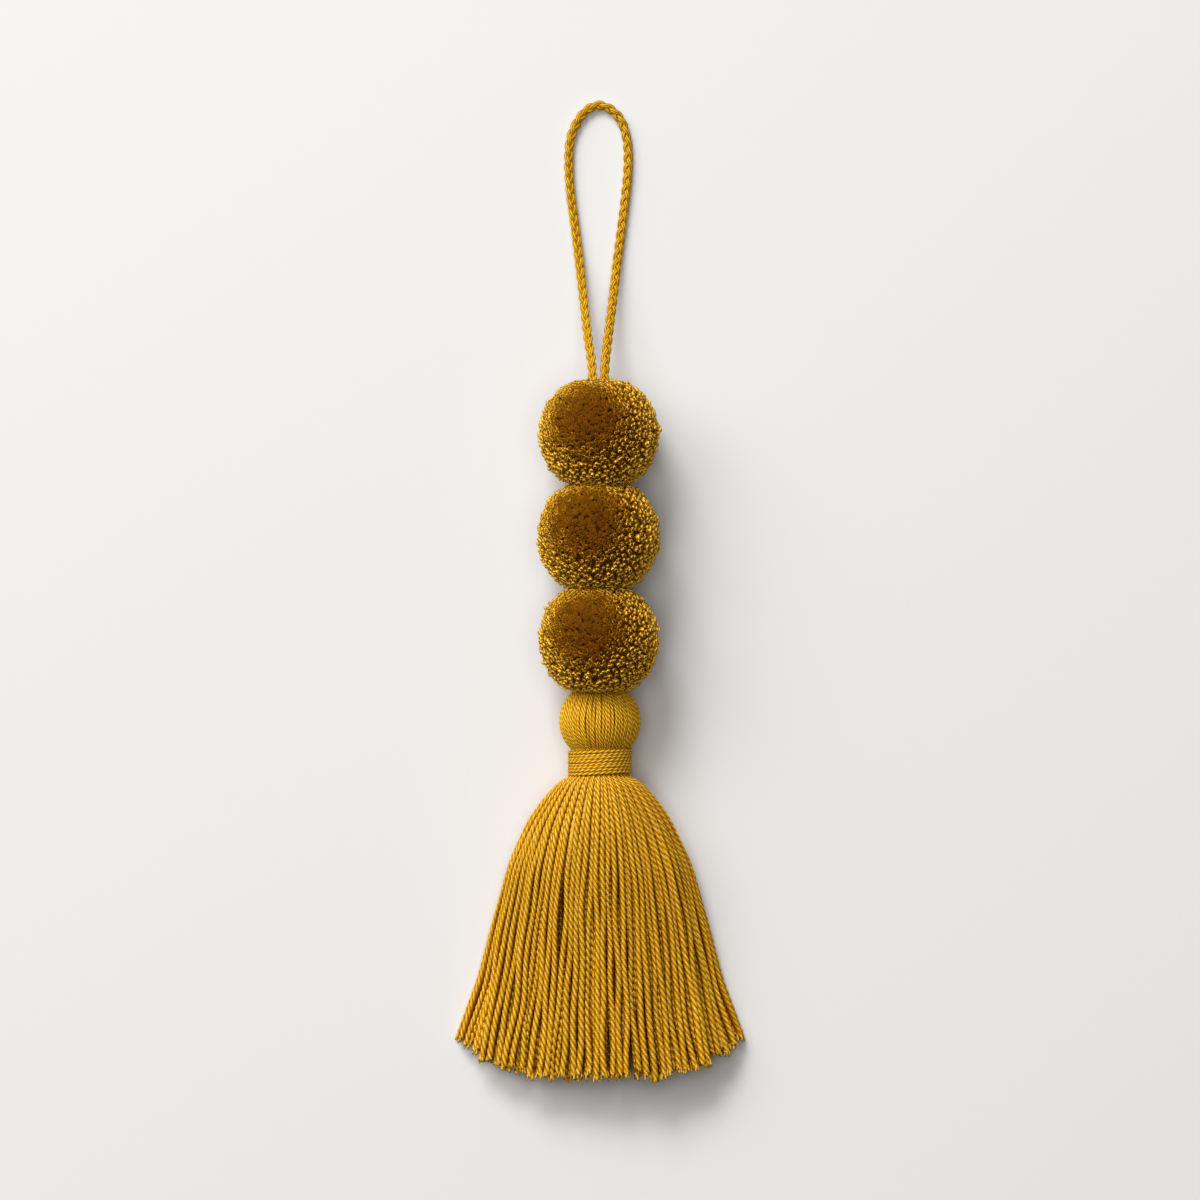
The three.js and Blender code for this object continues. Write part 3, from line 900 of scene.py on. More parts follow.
def make_surface(scene, settings):
    """A wide plain surface with painted light, a little lighter toward the upper left where the
    lamps are.
    """
    mesh = bpy.data.meshes.new("surface")
    half = SURFACE_HALF
    corners = [(-half, -half, 0), (half, -half, 0), (half, half, 0), (-half, half, 0)]
    mesh.from_pydata(corners, [], [(0, 1, 2, 3)])
    material = bpy.data.materials.new("pale_surface")
    material.use_nodes = True
    tree = material.node_tree
    shader = tree.nodes["Principled BSDF"]
    place = add_node(tree, "ShaderNodeTexCoord")
    # Painted light: the surface's colour grows lighter toward the upper left.
    slope = add_node(tree, "ShaderNodeVectorMath",
                     [(0, place.outputs["Object"]), (1, PAINTED_LIGHT_SLOPE)],
                     operation="DOT_PRODUCT")
    share = add_range(tree, slope.outputs["Value"], -1.0, 1.0)
    tone = add_mix(tree, share, *(tinted(settings.surface, part) for part in PAINTED_LIGHT_TONES))
    tree.links.new(tone, shader.inputs["Base Color"])
    shader.inputs["Roughness"].default_value = SURFACE_ROUGHNESS
    shader.inputs["Specular IOR Level"].default_value = SURFACE_SHINE
    mesh.materials.append(material)
    surface = bpy.data.objects.new("surface", mesh)
    scene.collection.objects.link(surface)


# Hanging loop


class CHARM_OT_hanging_loop(bpy.types.Operator):
    """Plait the cord of the hanging loop"""

    bl_idname = "charm.hanging_loop"
    bl_label = "Hanging loop"

    def execute(self, context):
        settings = context.scene.charm_loop
        route = smooth_route(LOOP_ROUTE, LOOP_STEP) * MM
        skins = plait_skins(route, settings)
        material = yarn_material("loop_cord", context.scene.charm_yarn, brightness=0.97,
                                 fibres=(7.0, 0.9), greener=1.12)
        piece = make_piece("loop_braid", skins, material, "loop_cord", "hanging_loop")
        return {"FINISHED"}


# Steps along the route of the cord, in millimetres, and between the plait's rings, and how far
# the flat plait rolls to one side on its way round, in radians.
LOOP_STEP = 0.5
PLAIT_STEP = 0.36 * MM
PLAIT_ROLL = 0.5

# Parts of the cord's radius: how far the plait's strands swing sideways and in and out, how far
# they tip over at the sides, and their half width and half thickness.
PLAIT_SWING = 0.54
PLAIT_LIFT = 0.36
STRAND_TIP = 0.9
STRAND_HALF_WIDTH = 0.49
STRAND_HALF_THICKNESS = 0.44
STRAND_SIDES = 12
STRAND_TONES = (0.35, 0.65, 0.5)

# The groove between the two yarns of a strand: its depth as a part of the strand, and its half
# width in radians.
STRAND_GROOVE = 0.3
GROOVE_WIDTH = 0.4

# How strong the painted shade is in the grooves, at the strands' edges and where a strand lies
# below another. A strand gets that painted shade where it is near the plait's middle and has
# sunk below another: the shade comes and goes over these ranges of its swing and of its sinking.
GROOVE_SHADE = 0.7
EDGE_SHADE = 0.9
UNDER_SHADE = 0.95
UNDER_SWING = (0.3, 0.7)
UNDER_SINK = (-0.3, 0.6)


def plait_skins(route, settings):
    """Three strands of two yarns each, plaited: every strand swings over and under the others."""
    radius = 0.5 * settings.diameter
    travelled = lengths_along(route)
    fine = np.linspace(0, travelled[-1], int(travelled[-1] / PLAIT_STEP))
    line = resample(route, travelled, fine)
    roll = PLAIT_ROLL * np.cos(FULL_TURN * fine / fine[-1])
    along, up, side = frames_along(line, np.broadcast_to((0.0, 0.0, 1.0), line.shape))
    up, side = (np.cos(roll)[:, None] * up + np.sin(roll)[:, None] * side,
                np.cos(roll)[:, None] * side - np.sin(roll)[:, None] * up)
    phase = FULL_TURN * fine / settings.plait_length
    rows, tilts, under = [], [], []
    for start in (0.0, FULL_TURN / 3, 2 * FULL_TURN / 3):
        sideways = PLAIT_SWING * np.sin(phase + start)
        lift = PLAIT_LIFT * np.sin(2 * (phase + start))
        rows.append(line + radius * (sideways[:, None] * side + lift[:, None] * up))
        tilts.append(unit(up + STRAND_TIP * sideways[:, None] * side))
        inner = 1 - ease(np.abs(np.sin(phase + start)), *UNDER_SWING)
        under.append(ease(-np.sin(2 * (phase + start)), *UNDER_SINK) * inner)
    centres, outward = np.stack(rows), np.stack(tilts)
    corner = ring_angles(STRAND_SIDES, np.zeros(1))[0]
    flat = np.hypot(np.cos(corner) / STRAND_HALF_THICKNESS, np.sin(corner) / STRAND_HALF_WIDTH)
    apart = np.minimum(np.abs(np.angle(np.exp(1j * corner))),
                       np.abs(np.angle(np.exp(1j * (corner - math.pi)))))
    groove = np.exp(-((apart / GROOVE_WIDTH) ** 2))
    shape = (1 - STRAND_GROOVE * groove) / flat
    reach = np.broadcast_to(radius * shape, (*centres.shape[:2], STRAND_SIDES))
    # Painted shade in the grooves, at the strands' edges and under the crossing strands.
    depth = (1 - GROOVE_SHADE * groove) * (1 - EDGE_SHADE * np.sin(corner) ** 4)
    depth = depth * (1 - UNDER_SHADE * np.stack(under)[..., None])
    return [Skin(centres, outward, reach, depth, tone=np.array(STRAND_TONES))]


# Pompoms


class CHARM_OT_pompoms(bpy.types.Operator):
    """Build the three pompoms from thousands of cut plies and their loose fibres"""

    bl_idname = "charm.pompoms"
    bl_label = "Pompoms"

    def execute(self, context):
        yarn = context.scene.charm_yarn
        settings = context.scene.charm_pompoms
        # The pompoms take a lighter copy of the yarn, painted light, and their cut ends and the
        # gaps between plies take the cut-end colour as painted shade.
        material = yarn_material("pompom_yarn", yarn, brightness=1.3, cut=yarn.cut,
                                 painted_shade=yarn.cut, fibres=(5.0, 0.9), bump=0.35, shade_until=1.0,
                                 sheen=0.45, tone_spread=0.4, greener=1.13)
        for seed, place in enumerate(POMPOMS, POMPOM_SEED):
            skins = pompom_skins(place, settings, np.random.default_rng(seed))
            name = place["node"] + "_yarn"
            make_piece(name, skins, material, "pompom_yarn", place["node"])
        return {"FINISHED"}


POMPOM_SEED = 41

# The ball inside a pompom, dark with painted shade, and how much further it stays back where the
# pompom is pressed.
POMPOM_CORE = 16.6 * MM
CORE_GAP = 1.5 * MM

# The cut plies of a pompom's yarns: their sides and length, the length, width and rise of their
# tapered ends, how much they differ in thickness, tilt and stray from their places, and the
# marks of their sides and of their two ends, which paint shade toward the root and the painted
# shade of the cut end at the tip.
PLY_SIDES = 6
PLY_LENGTH = 4.0 * MM
PLY_TAPER = 0.08 * MM
PLY_END_WIDTH = 0.85
PLY_DOME = 0.12 * MM
PLY_THICKNESS = (0.8, 1.2)
PLY_TILT = 0.1
PLY_JITTER = 0.016
PLY_MARK = 0.95
PLY_END_MARKS = ((-0.5, 0), (1, 1))

# The plies of one yarn stand together: how many there are and how far they gather, and the parts
# of the unevenness by which single plies and whole yarns differ. A small share of the plies
# stands out further, by so many millimetres.
YARN_PLIES = 3
YARN_GATHER = 0.28
PLY_UNEVEN = 0.75
YARN_UNEVEN = 0.6
STRAY_SHARE = 0.01
STRAY_RISE = (0.3, 0.8)

# Toward the smooth side the pile is brushed: its loose fibres stand out further and hide the
# gaps, and its ends are more level and upright, by these parts. In the middle of that side the
# plies are packed: they swell, and their sides get painted shade, a painted dark patch where the
# pile points toward the light. Away from it the gaps are open, and the loose fibres in them get
# painted shade. Each reach is how squarely the pile faces its side where this begins and where
# it is complete, and the edge between them is ragged.
SMOOTH_SIDE = (-0.35, 0.30, 0.89)
SMOOTH_REACH = (0.5, 0.87)
SMOOTH_LIFT = 0.8 * MM
SMOOTH_LEVEL = 0.7
SMOOTH_UPRIGHT = 0.5
PACKED_SIDE = (-0.27, 0.29, 0.918)
PACKED_REACH = (0.68, 0.97)
PACKED_SHADE = 0.72
PACKED_SWELL = 0.45
OPEN_SHADE = 0.45
EDGE_RAGGED = 0.05

# How sharp the edge is between a pompom's round part and where it is pressed. In millimetres,
# how far the neighbours' ends reach into each other there, and how far the lowest ends stay
# above the surface.
PRESS_EDGE = 18
PRESS_OVERLAP = 0.9
PRESS_CLEAR = 0.1


def spread_directions(count, random, jitter):
    """Unit vectors spread evenly and then a little unevenly over a ball, round the Y axis."""
    index = np.arange(count) + 0.5
    height = 1 - 2 * index / count
    flat = np.sqrt(1 - height * height)
    turn = GOLDEN_ANGLE * index
    even = np.stack([flat * np.sin(turn), height, flat * np.cos(turn)], -1)
    return unit(even + random.normal(0, jitter, even.shape))


def ball_reach(directions, radius, below, upper, lower):
    """How far a ball reaches in each direction before a plane below, above or beyond it."""
    x, y, z = directions.T
    tiny = 1e-9
    reach = np.full(len(directions), radius)
    reach = np.minimum(reach, np.where(z < 0, below / np.maximum(-z, tiny), radius))
    reach = np.minimum(reach, np.where(y > 0, upper / np.maximum(y, tiny), radius))
    return np.minimum(reach, np.where(y < 0, lower / np.maximum(-y, tiny), radius))


def pompom_skins(place, settings, random):
    """The plies of one pompom, the loose fibres at their cut ends and the ball inside it, dark
    with painted shade.
    """
    radius = place["radius"] * MM - 2 * settings.unevenness
    limits = {
        "below": (POMPOM_HEIGHT - PRESS_CLEAR) * MM,
        "upper": (place["upper"] - place["y"] + PRESS_OVERLAP) * MM,
        "lower": (place["y"] - place["lower"] + PRESS_OVERLAP) * MM,
    }
    middle = np.array([POMPOM_X, place["y"], POMPOM_HEIGHT]) * MM
    count = settings.ply_ends
    stray = random.uniform(size=count) < STRAY_SHARE
    away = spread_directions(count, random, PLY_JITTER)
    ragged = random.normal(0, EDGE_RAGGED, count)
    smooth = ease(away @ np.array(SMOOTH_SIDE) + ragged, *SMOOTH_REACH)
    packed = ease(away @ np.array(PACKED_SIDE) + ragged, *PACKED_REACH)
    yarns = spread_directions(count // YARN_PLIES, random, PLY_JITTER)
    nearest = np.argmax(away @ yarns.T, 1)
    away = unit(away + (YARN_GATHER * (1 - smooth))[:, None] * (yarns[nearest] - away))
    height = random.normal(0, PLY_UNEVEN, count)
    height = height + random.normal(0, YARN_UNEVEN, len(yarns))[nearest]
    height = height * settings.unevenness * (1 - SMOOTH_LEVEL * smooth)
    height = height + stray * random.uniform(*STRAY_RISE, count) * MM
    tips = (radius + height)[:, None] * away
    tips = tips - pressed_by(tips, limits)
    tone = random.uniform(0.0, 1.0, count)
    tilt = PLY_TILT * (1 - SMOOTH_UPRIGHT * smooth)[:, None]
    along = unit(unit(tips) + tilt * random.normal(size=tips.shape))
    centres = np.stack([tips - PLY_TAPER * along, tips], 1) + middle
    across = np.cross(along, unit(random.normal(size=along.shape)))
    outward = np.stack([across, across], 1)
    thick = settings.ply_radius * random.uniform(*PLY_THICKNESS, (count, 1))
    thick = thick * np.array([1.0, PLY_END_WIDTH]) * (1 + PACKED_SWELL * packed[:, None])
    reach = np.repeat(thick[..., None], PLY_SIDES, 2)
    # Painted shade on the sides of the packed plies.
    shade_factor = 1 - PACKED_SHADE * packed
    depth = np.broadcast_to((PLY_MARK * shade_factor)[:, None, None], reach.shape)
    cut = np.broadcast_to(np.array([0.0, 1.0])[:, None], reach.shape)
    plies = Skin(centres, outward, reach, depth, domes=(PLY_LENGTH, PLY_DOME), cut=cut,
                 tone=tone, end_marks=PLY_END_MARKS)
    # The loose fibres get painted shade in the packed middle and away from the smooth side.
    fuzz = wisps(centres, outward, thick, tone, random, FUZZ, SMOOTH_LIFT * smooth,
                 shade_factor * (1 - OPEN_SHADE * (1 - smooth)))

    def squash(points):
        return points - pressed_by(points, {key: gap - CORE_GAP for key, gap in limits.items()})

    return [plies, fuzz, ball(middle, POMPOM_CORE, squash)]


def pressed_by(tips, limits):
    """How far points are pushed back toward the middle where the pompom is pressed."""
    away = unit(tips)
    distance = np.linalg.norm(tips, axis=1)
    allowed = ball_reach(away, 1.0, **limits)
    softened = (distance ** -PRESS_EDGE + allowed ** -PRESS_EDGE) ** (-1 / PRESS_EDGE)
    return (distance - softened)[:, None] * away


# Tassel


# The part of a yarn's radius at which its plies have their slant.
SLANT_RADIUS = 0.78


def twist_along(radius, steps, angle):
    """How far a yarn's plies have turned at each point, for their slant against its length."""
    rate = math.tan(angle) / (SLANT_RADIUS * 0.5 * (radius[..., 1:] + radius[..., :-1]))
    turned = np.cumsum(rate * steps, -1)
    return np.concatenate([np.zeros((*turned.shape[:-1], 1)), turned], -1)


def steps_of(centres):
    """The lengths of the steps along rows of centres."""
    return np.linalg.norm(np.diff(centres, axis=-2), axis=-1)


class CHARM_OT_tassel_head(bpy.types.Operator):
    """Lay the yarns over the tassel's round head"""

    bl_idname = "charm.tassel_head"
    bl_label = "Tassel head"

    def execute(self, context):
        # The head takes a lighter copy of the yarn, painted light.
        material = yarn_material("head_yarn", context.scene.charm_yarn, brightness=1.35,
                                 greener=1.16)
        skins = head_skins(context.scene.charm_tassel, np.random.default_rng(HEAD_SEED))
        make_piece("tassel_head", skins, material, "tassel_yarn", "tassel")
        return {"FINISHED"}


HEAD_SEED = 7

# A yarn over the head follows an arc round its middle, in degrees from the axis, and then the
# neck. Its middle lies below the neck's surface by a part of its radius. In millimetres: how far
# off the neck the arc stops, and how far below the wrap's top edge the neck begins. The least
# cosine limits the arc's reach at the flat top.
HEAD_ARC = (16, 134)
ARC_POINTS = 90
NECK_DEPTH = 0.7
ARC_CLEAR = 0.25
NECK_DROP = 0.4
LEAST_COSINE = 0.01

# A yarn's rings on the head, its width and how far it strays to the side as parts of its share,
# and, in millimetres, how far it stands out or lies back and its least gap to the surface below.
# Toward the top yarns get thinner: their radius is a part of their room there, but not below a
# least one in millimetres.
HEAD_RINGS = 60
HEAD_WIDTH = 1.06
HEAD_STRAY = 0.25
HEAD_UNEVEN = 0.12
HEAD_CLEAR = 0.02
HEAD_FILL = 0.62
HEAD_LEAST_RADIUS = 0.3
HEAD_TONES = (0.2, 0.8)

# How far above the head's middle, along Y, its axis begins to lower toward the neck.
AXIS_START = 4


def head_profile(yarn_radius):
    """The middle line of a yarn over the head, as distance from the axis and height along Y."""
    radius = HEAD_RADIUS - yarn_radius
    top = HEAD_TOP_Y - yarn_radius - HEAD_Y
    polar = np.radians(np.linspace(*HEAD_ARC, ARC_POINTS))
    distance = np.minimum(radius, top / np.maximum(np.cos(polar), LEAST_COSINE))
    arc = np.stack([distance * np.sin(polar), HEAD_Y + distance * np.cos(polar)], -1)
    neck = NECK_RADIUS - NECK_DEPTH * yarn_radius
    keep = (arc[:, 1] > HEAD_Y) | (arc[:, 0] > neck + ARC_CLEAR)
    return np.vstack([arc[keep], [[neck, WRAP_TOP_Y - NECK_DROP], [neck, NECK_END_Y]]])


def axis_height(y):
    """The height of the middle of the head and neck at places along Y, in millimetres."""
    part = ease(-y, -HEAD_Y - AXIS_START, -WRAP_TOP_Y)
    return HEAD_HEIGHT + (NECK_HEIGHT - HEAD_HEIGHT) * part


def head_skins(settings, random):
    """Yarns side by side from the head's top to the neck, over a solid core."""
    count = settings.head_yarns
    yarn_radius = HEAD_WIDTH * math.pi * HEAD_RADIUS / count
    line = head_profile(yarn_radius)
    travelled = lengths_along(line)
    wanted = np.linspace(0, travelled[-1], HEAD_RINGS)
    across, y = resample(line, travelled, wanted).T
    azimuth = FULL_TURN * np.arange(count)[:, None] / count
    stray = HEAD_STRAY * wander(random, count, wanted / wanted[-1])
    azimuth = azimuth + stray * FULL_TURN / count
    across = across + random.uniform(-HEAD_UNEVEN, HEAD_UNEVEN, (count, 1))
    x = across * np.sin(azimuth)
    z = np.maximum(axis_height(y) + across * np.cos(azimuth), yarn_radius + HEAD_CLEAR)
    centres = np.stack([x, np.broadcast_to(y, x.shape), z], -1) * MM
    slope = np.gradient(across, axis=1)
    fall = np.gradient(y)
    outward = np.stack([-fall * np.sin(azimuth), slope, -fall * np.cos(azimuth)], -1)
    room = FULL_TURN * across / count
    radius = np.maximum(HEAD_FILL * room, HEAD_LEAST_RADIUS)
    radius = np.minimum(yarn_radius, radius) * MM
    turn = twist_along(radius, steps_of(centres), settings.ply_angle)
    turn = turn + random.uniform(0, FULL_TURN, (count, 1))
    tone = random.uniform(*HEAD_TONES, count)
    yarns = plied(centres, outward, radius, turn, tone, plies=3, points_each=3, valley=0.7,
                  groove=0.9, flank_shade=0.4)
    return [yarns, head_core()]


# The head's core follows a line that is inset from the head, in millimetres, and is slimmer still
# by the depth. Its floor is how low it goes, and a tiny step in metres keeps level rings apart.
CORE_RINGS = 40
CORE_INSET = 0.95
CORE_DEPTH = 0.4
CORE_FLOOR = 0.5 * MM
CORE_STEP = 1e-7


def head_core():
    """The packed yarn inside the head and neck, as one closed form dark with painted shade."""
    line = head_profile(CORE_INSET)
    travelled = lengths_along(line)
    across, y = resample(line, travelled, np.linspace(0, travelled[-1], CORE_RINGS)).T
    centres = np.stack([np.zeros(CORE_RINGS), y, axis_height(y)], -1)[None] * MM
    centres[0, :, 1] -= np.arange(CORE_RINGS) * CORE_STEP
    reach = np.repeat((across - CORE_DEPTH)[:, None], CORE_SIDES, 1)[None] * MM
    outward = np.zeros_like(centres)
    outward[..., 2] = 1
    core = Skin(centres, outward, reach, np.zeros_like(reach), end_marks=CORE_END_MARKS)
    core.points[:, 2] = np.maximum(core.points[:, 2], CORE_FLOOR)
    return core


class CHARM_OT_neck_wrap(bpy.types.Operator):
    """Wind yarn round the tassel's neck"""

    bl_idname = "charm.neck_wrap"
    bl_label = "Neck wrap"

    def execute(self, context):
        material = yarn_material("wrap_yarn", context.scene.charm_yarn, brightness=0.98,
                                 greener=1.08)
        skins = wrap_skins(context.scene.charm_tassel, np.random.default_rng(WRAP_SEED))
        make_piece("neck_windings", skins, material, "wrap_yarn", "neck_wrap")
        return {"FINISHED"}


WRAP_SEED = 19

# How far the topmost turn lies up the head, in millimetres. The yarn's radius is a part of the
# turns' pitch, and the outer turns' middles lie inside the wrap's edges by a part of that radius.
# A turn has so many rings and steps up in one part of its lap, and all turns lie a little lower,
# by a part of a turn.
WRAP_RISE = 0.7
WRAP_FILL = 0.6
WRAP_EDGE = 0.9
WRAP_RINGS = 150
WRAP_CLIMB = (0.30, 0.70)
WRAP_LOWER = 0.02

# How far the turns stray, in millimetres, and how much they differ in thickness, each with its
# waves over the whole wrap. The yarn's two ends are tucked under by the depth, in millimetres,
# over a part of a lap.
WRAP_STRAY = 0.2
STRAY_WAVES = (5.3, 13.1, 27.7)
WRAP_UNEVEN = 0.1
UNEVEN_WAVES = (7.7, 19.3, 41.9)
TUCK_DEPTH = 0.9
TUCK_LAP = 0.12


def wrap_skins(settings, random):
    """One yarn wound round and round; each turn steps up to the next across the front."""
    turns = settings.wrap_turns
    width = WRAP_TOP_Y + WRAP_RISE - WRAP_BOTTOM_Y
    pitch = width / turns
    yarn_radius = WRAP_FILL * pitch
    centre_radius = WRAP_RADIUS - yarn_radius
    count = int(turns * WRAP_RINGS)
    lap = np.linspace(0, turns, count)
    whole = np.floor(lap)
    climb = whole + ease(lap - whole, *WRAP_CLIMB)
    between = width - 2 * WRAP_EDGE * yarn_radius
    y = WRAP_BOTTOM_Y + WRAP_EDGE * yarn_radius + (climb - WRAP_LOWER) * between / turns
    angle = FULL_TURN * lap + math.pi
    uneven = WRAP_STRAY * wander(random, 1, lap / turns, STRAY_WAVES)[0]
    tuck = ease(lap, 0.0, TUCK_LAP) * (1 - ease(lap, turns - TUCK_LAP, turns))
    across = centre_radius - TUCK_DEPTH * (1 - tuck) + uneven
    centres = np.stack([across * np.sin(angle), y + uneven,
                        NECK_HEIGHT + across * np.cos(angle)], -1)[None] * MM
    outward = np.stack([np.sin(angle), np.zeros(count), np.cos(angle)], -1)[None]
    thick = 1 + WRAP_UNEVEN * wander(random, 1, lap / turns, UNEVEN_WAVES)
    radius = thick * yarn_radius * MM
    turn = twist_along(radius, steps_of(centres), settings.ply_angle)
    return [plied(centres, outward, radius, turn, np.array([MIDDLE_TONE]), plies=3,
                  points_each=4, valley=0.74, groove=0.7, flank_shade=1.0)]


class CHARM_OT_tassel_skirt(bpy.types.Operator):
    """Fan out the skirt's plied yarns in layers"""

    bl_idname = "charm.tassel_skirt"
    bl_label = "Tassel skirt"

    def execute(self, context):
        settings = context.scene.charm_tassel
        material = yarn_material("skirt_yarn", context.scene.charm_yarn, brightness=1.04,
                                 greener=1.07)
        for layer in skirt_layers(settings):
            random = np.random.default_rng(layer["seed"])
            skins = skirt_skins(layer, settings, random)
            make_piece(layer["name"], skins, material, "tassel_yarn", "tassel")
        return {"FINISHED"}


# Part of its room that a skirt yarn's radius takes, its plies, and how far the middle of a groove
# between them lies from the yarn's middle, as a part of its radius.
YARN_FILL = 0.51
SKIRT_PLIES = 4
SKIRT_VALLEY = 0.76

# Near the neck the yarns crowd: how much wider they are there than their room, and how far every
# other one lies deeper, as a part of its radius. How much higher the arch is on its right side
# than on its left, as a part of its height.
NECK_WIDENING = 0.5
NECK_SINKING = 0.9
SKIRT_LEAN = 0.25

# How the yarns of a layer differ: in their radius, and how far they drift to the side as a part
# of their room. In millimetres: how far they wave up and down and how much their lengths differ,
# and the drop of the share of them that lies lower.
RADIUS_RANGE = (0.93, 1.06)
SKIRT_DRIFT = 0.42
SKIRT_WAVE = 0.4
LENGTH_SPREAD = 0.75
LOW_SHARE = 0.25
LOW_DROP = 0.9
SKIRT_TONES = (0.1, 0.9)

# Parts of the strands' length over which the layers part, the drift and the lean grow, the
# crowding fades and the waves begin.
DEPTH_GROWTH = (0, 0.7)
DRIFT_GROWTH = (0.02, 0.5)
LEAN_GROWTH = (0.1, 0.8)
CROWD_FADE = (0.05, 0.4)
WAVE_GROWTH = (0.03, 0.35)

# The yarns begin inside the wrap, at a part of the length below zero. Their shares of the arch
# stay between the limits. In millimetres: the least height of an arch, and the least gap to the
# surface below. A small lift keeps the outermost yarns facing up or down.
SKIRT_START = -0.02
SHARE_LIMITS = (0.002, 0.998)
LEAST_ARCH = 0.05
SKIRT_CLEAR = 0.03
FACING_LIFT = 1e-4

# A yarn's room is measured on an arch that is inset from the skirt and has a least height, in
# millimetres. An arch has so many points, and a yarn's twist is added up over so many places.
ROOM_INSET = 0.6
ROOM_LEAST = 0.1
ARCH_POINTS = 65
TWIST_PLACES = 800

# At its cut end a yarn opens over a length: it flares, its grooves get deeper and its plies end
# unevenly over a shorter length, by so many millimetres. The end is a little hollow, and the end
# marks put painted shade at the root and in the hollow.
OPEN_LENGTH = 2.6 * MM
OPEN_FLARE = (-0.05, 0.16)
OPEN_GROOVE = 0.3
CUT_LENGTH = 1.6 * MM
CUT_UNEVEN = (-1.0, 0.6)
END_HOLLOW = 0.3 * MM
SKIRT_END_MARKS = ((0, 0), (0.3, 0))


def skirt_layers(settings):
    """The skirt's layers: how many yarns, how deep they lie and how finely they are made.

    depth is in millimetres below the skirt's surface at its root and at its cut ends. points is
    the corners for each ply, and ring_turn the twist between two rings in degrees. floor is set
    for the layer on the underside, shift moves a layer sideways by a part of a yarn's room, and
    short is how much sooner the layer ends than the upper one, in millimetres.
    """
    across = settings.skirt_yarns
    return (
        {"name": "skirt_upper", "seed": 101, "count": across, "depth": (0.0, 0.0),
         "points": 4, "ring_turn": 32, "floor": False, "shift": 0.0, "short": 0.0},
        {"name": "skirt_second", "seed": 102, "count": across - 2, "depth": (0.9, 2.0),
         "points": 3, "ring_turn": 50, "floor": False, "shift": 0.5, "short": 0.3},
        {"name": "skirt_inner", "seed": 103, "count": 24, "depth": (2.2, 5.2),
         "points": 2, "ring_turn": 52, "floor": False, "shift": 0.0, "short": 1.2},
        {"name": "skirt_lower", "seed": 104, "count": across - 2, "depth": (0.0, 0.0),
         "points": 3, "ring_turn": 50, "floor": True, "shift": 0.5, "short": 2.6},
    )


def skirt_section(along):
    """Half width, side, crown and floor of the skirt at parts of the strands' length."""
    table = np.array(SKIRT_SECTIONS)
    blur = SECTION_BLUR * ease(along, *BLUR_GROWTH)[:, None]
    spots = np.clip(along, table[0, 0], 1)[:, None] + blur
    return [np.interp(spots, table[:, 0], column).mean(1) for column in table.T[1:]]


def layer_section(along, layer):
    """Half width, side and rise of a layer's arch at parts of the strands' length."""
    half_width, side, crown, floor = skirt_section(along)
    return half_width, side, side - floor if layer["floor"] else crown - side


def arch_angles(width, rise, shares):
    """The angles on half ellipses at which the given shares of their length lie."""
    angle = np.linspace(-0.5 * math.pi, 0.5 * math.pi, ARCH_POINTS)
    found = np.empty(shares.shape)
    lengths = np.empty(len(width))
    for ring in range(len(width)):
        line = np.stack([width[ring] * np.sin(angle), rise[ring] * np.cos(angle)], -1)
        travelled = lengths_along(line)
        lengths[ring] = travelled[-1]
        found[:, ring] = np.interp(shares[:, ring] * travelled[-1], travelled, angle)
    return found, lengths


def skirt_skins(layer, settings, random):
    """The yarns of one layer, from inside the wrap to their cut ends."""
    count = layer["count"]
    yarn_radius = settings.yarn_radius / MM
    along = ring_places(layer, settings, yarn_radius)
    half_width, side, rise = layer_section(along, layer)
    top, end = layer["depth"]
    depth = top + (end - top) * ease(along, *DEPTH_GROWTH)
    share = (np.arange(count) + layer["shift"]) / (count - 1 + 2 * layer["shift"])
    room = room_at(half_width, rise, count)
    drift = SKIRT_DRIFT * wander(random, count, along) * ease(along, *DRIFT_GROWTH) / count
    shares = np.clip(share[:, None] + drift, *SHARE_LIMITS)
    crowded = 1 - ease(along, *CROWD_FADE)
    middle = np.minimum(yarn_radius, YARN_FILL * room * (1 + NECK_WIDENING * crowded))
    radius = middle * random.uniform(*RADIUS_RANGE, (count, 1))
    sunk = NECK_SINKING * middle * crowded * (np.arange(count) % 2)[:, None]
    inner_width = half_width - middle - depth
    inner_rise = np.maximum(rise - middle - depth, LEAST_ARCH)
    angle, _ = arch_angles(inner_width, inner_rise, shares)
    x = (inner_width - sunk) * np.sin(angle)
    fuller = 1 + SKIRT_LEAN * np.sin(angle) * ease(along, *LEAN_GROWTH)
    arch = (inner_rise - sunk) * np.cos(angle) * fuller
    spread = np.sin(angle[:, -1:])
    longer = random.normal(0, LENGTH_SPREAD, (count, 1)) - layer["short"]
    corner = SKIRT_CORNER_RISE * np.abs(spread) ** SKIRT_CORNER_POWER
    y = SKIRT_ROOT_Y + (SKIRT_TIP_Y + corner - longer - SKIRT_ROOT_Y) * along
    lift = SKIRT_WAVE * wander(random, count, along)
    lift = lift - LOW_DROP * (random.uniform(size=(count, 1)) < LOW_SHARE)
    lift = lift * ease(along, *WAVE_GROWTH)
    z = side - arch if layer["floor"] else side + arch + lift
    z = np.maximum(z, radius + SKIRT_CLEAR)
    centres = np.stack([x, y, z], -1) * MM
    sign = -1 if layer["floor"] else 1
    outward = np.stack([x / inner_width ** 2, 0 * x, sign * arch / inner_rise ** 2], -1)
    outward[..., 2] += sign * FACING_LIFT
    radius = radius * MM
    turn = twist_along(radius, steps_of(centres), settings.ply_angle)
    turn = turn + random.uniform(0, FULL_TURN, (count, 1))
    return fanned(centres, outward, radius, turn, along, layer, random)


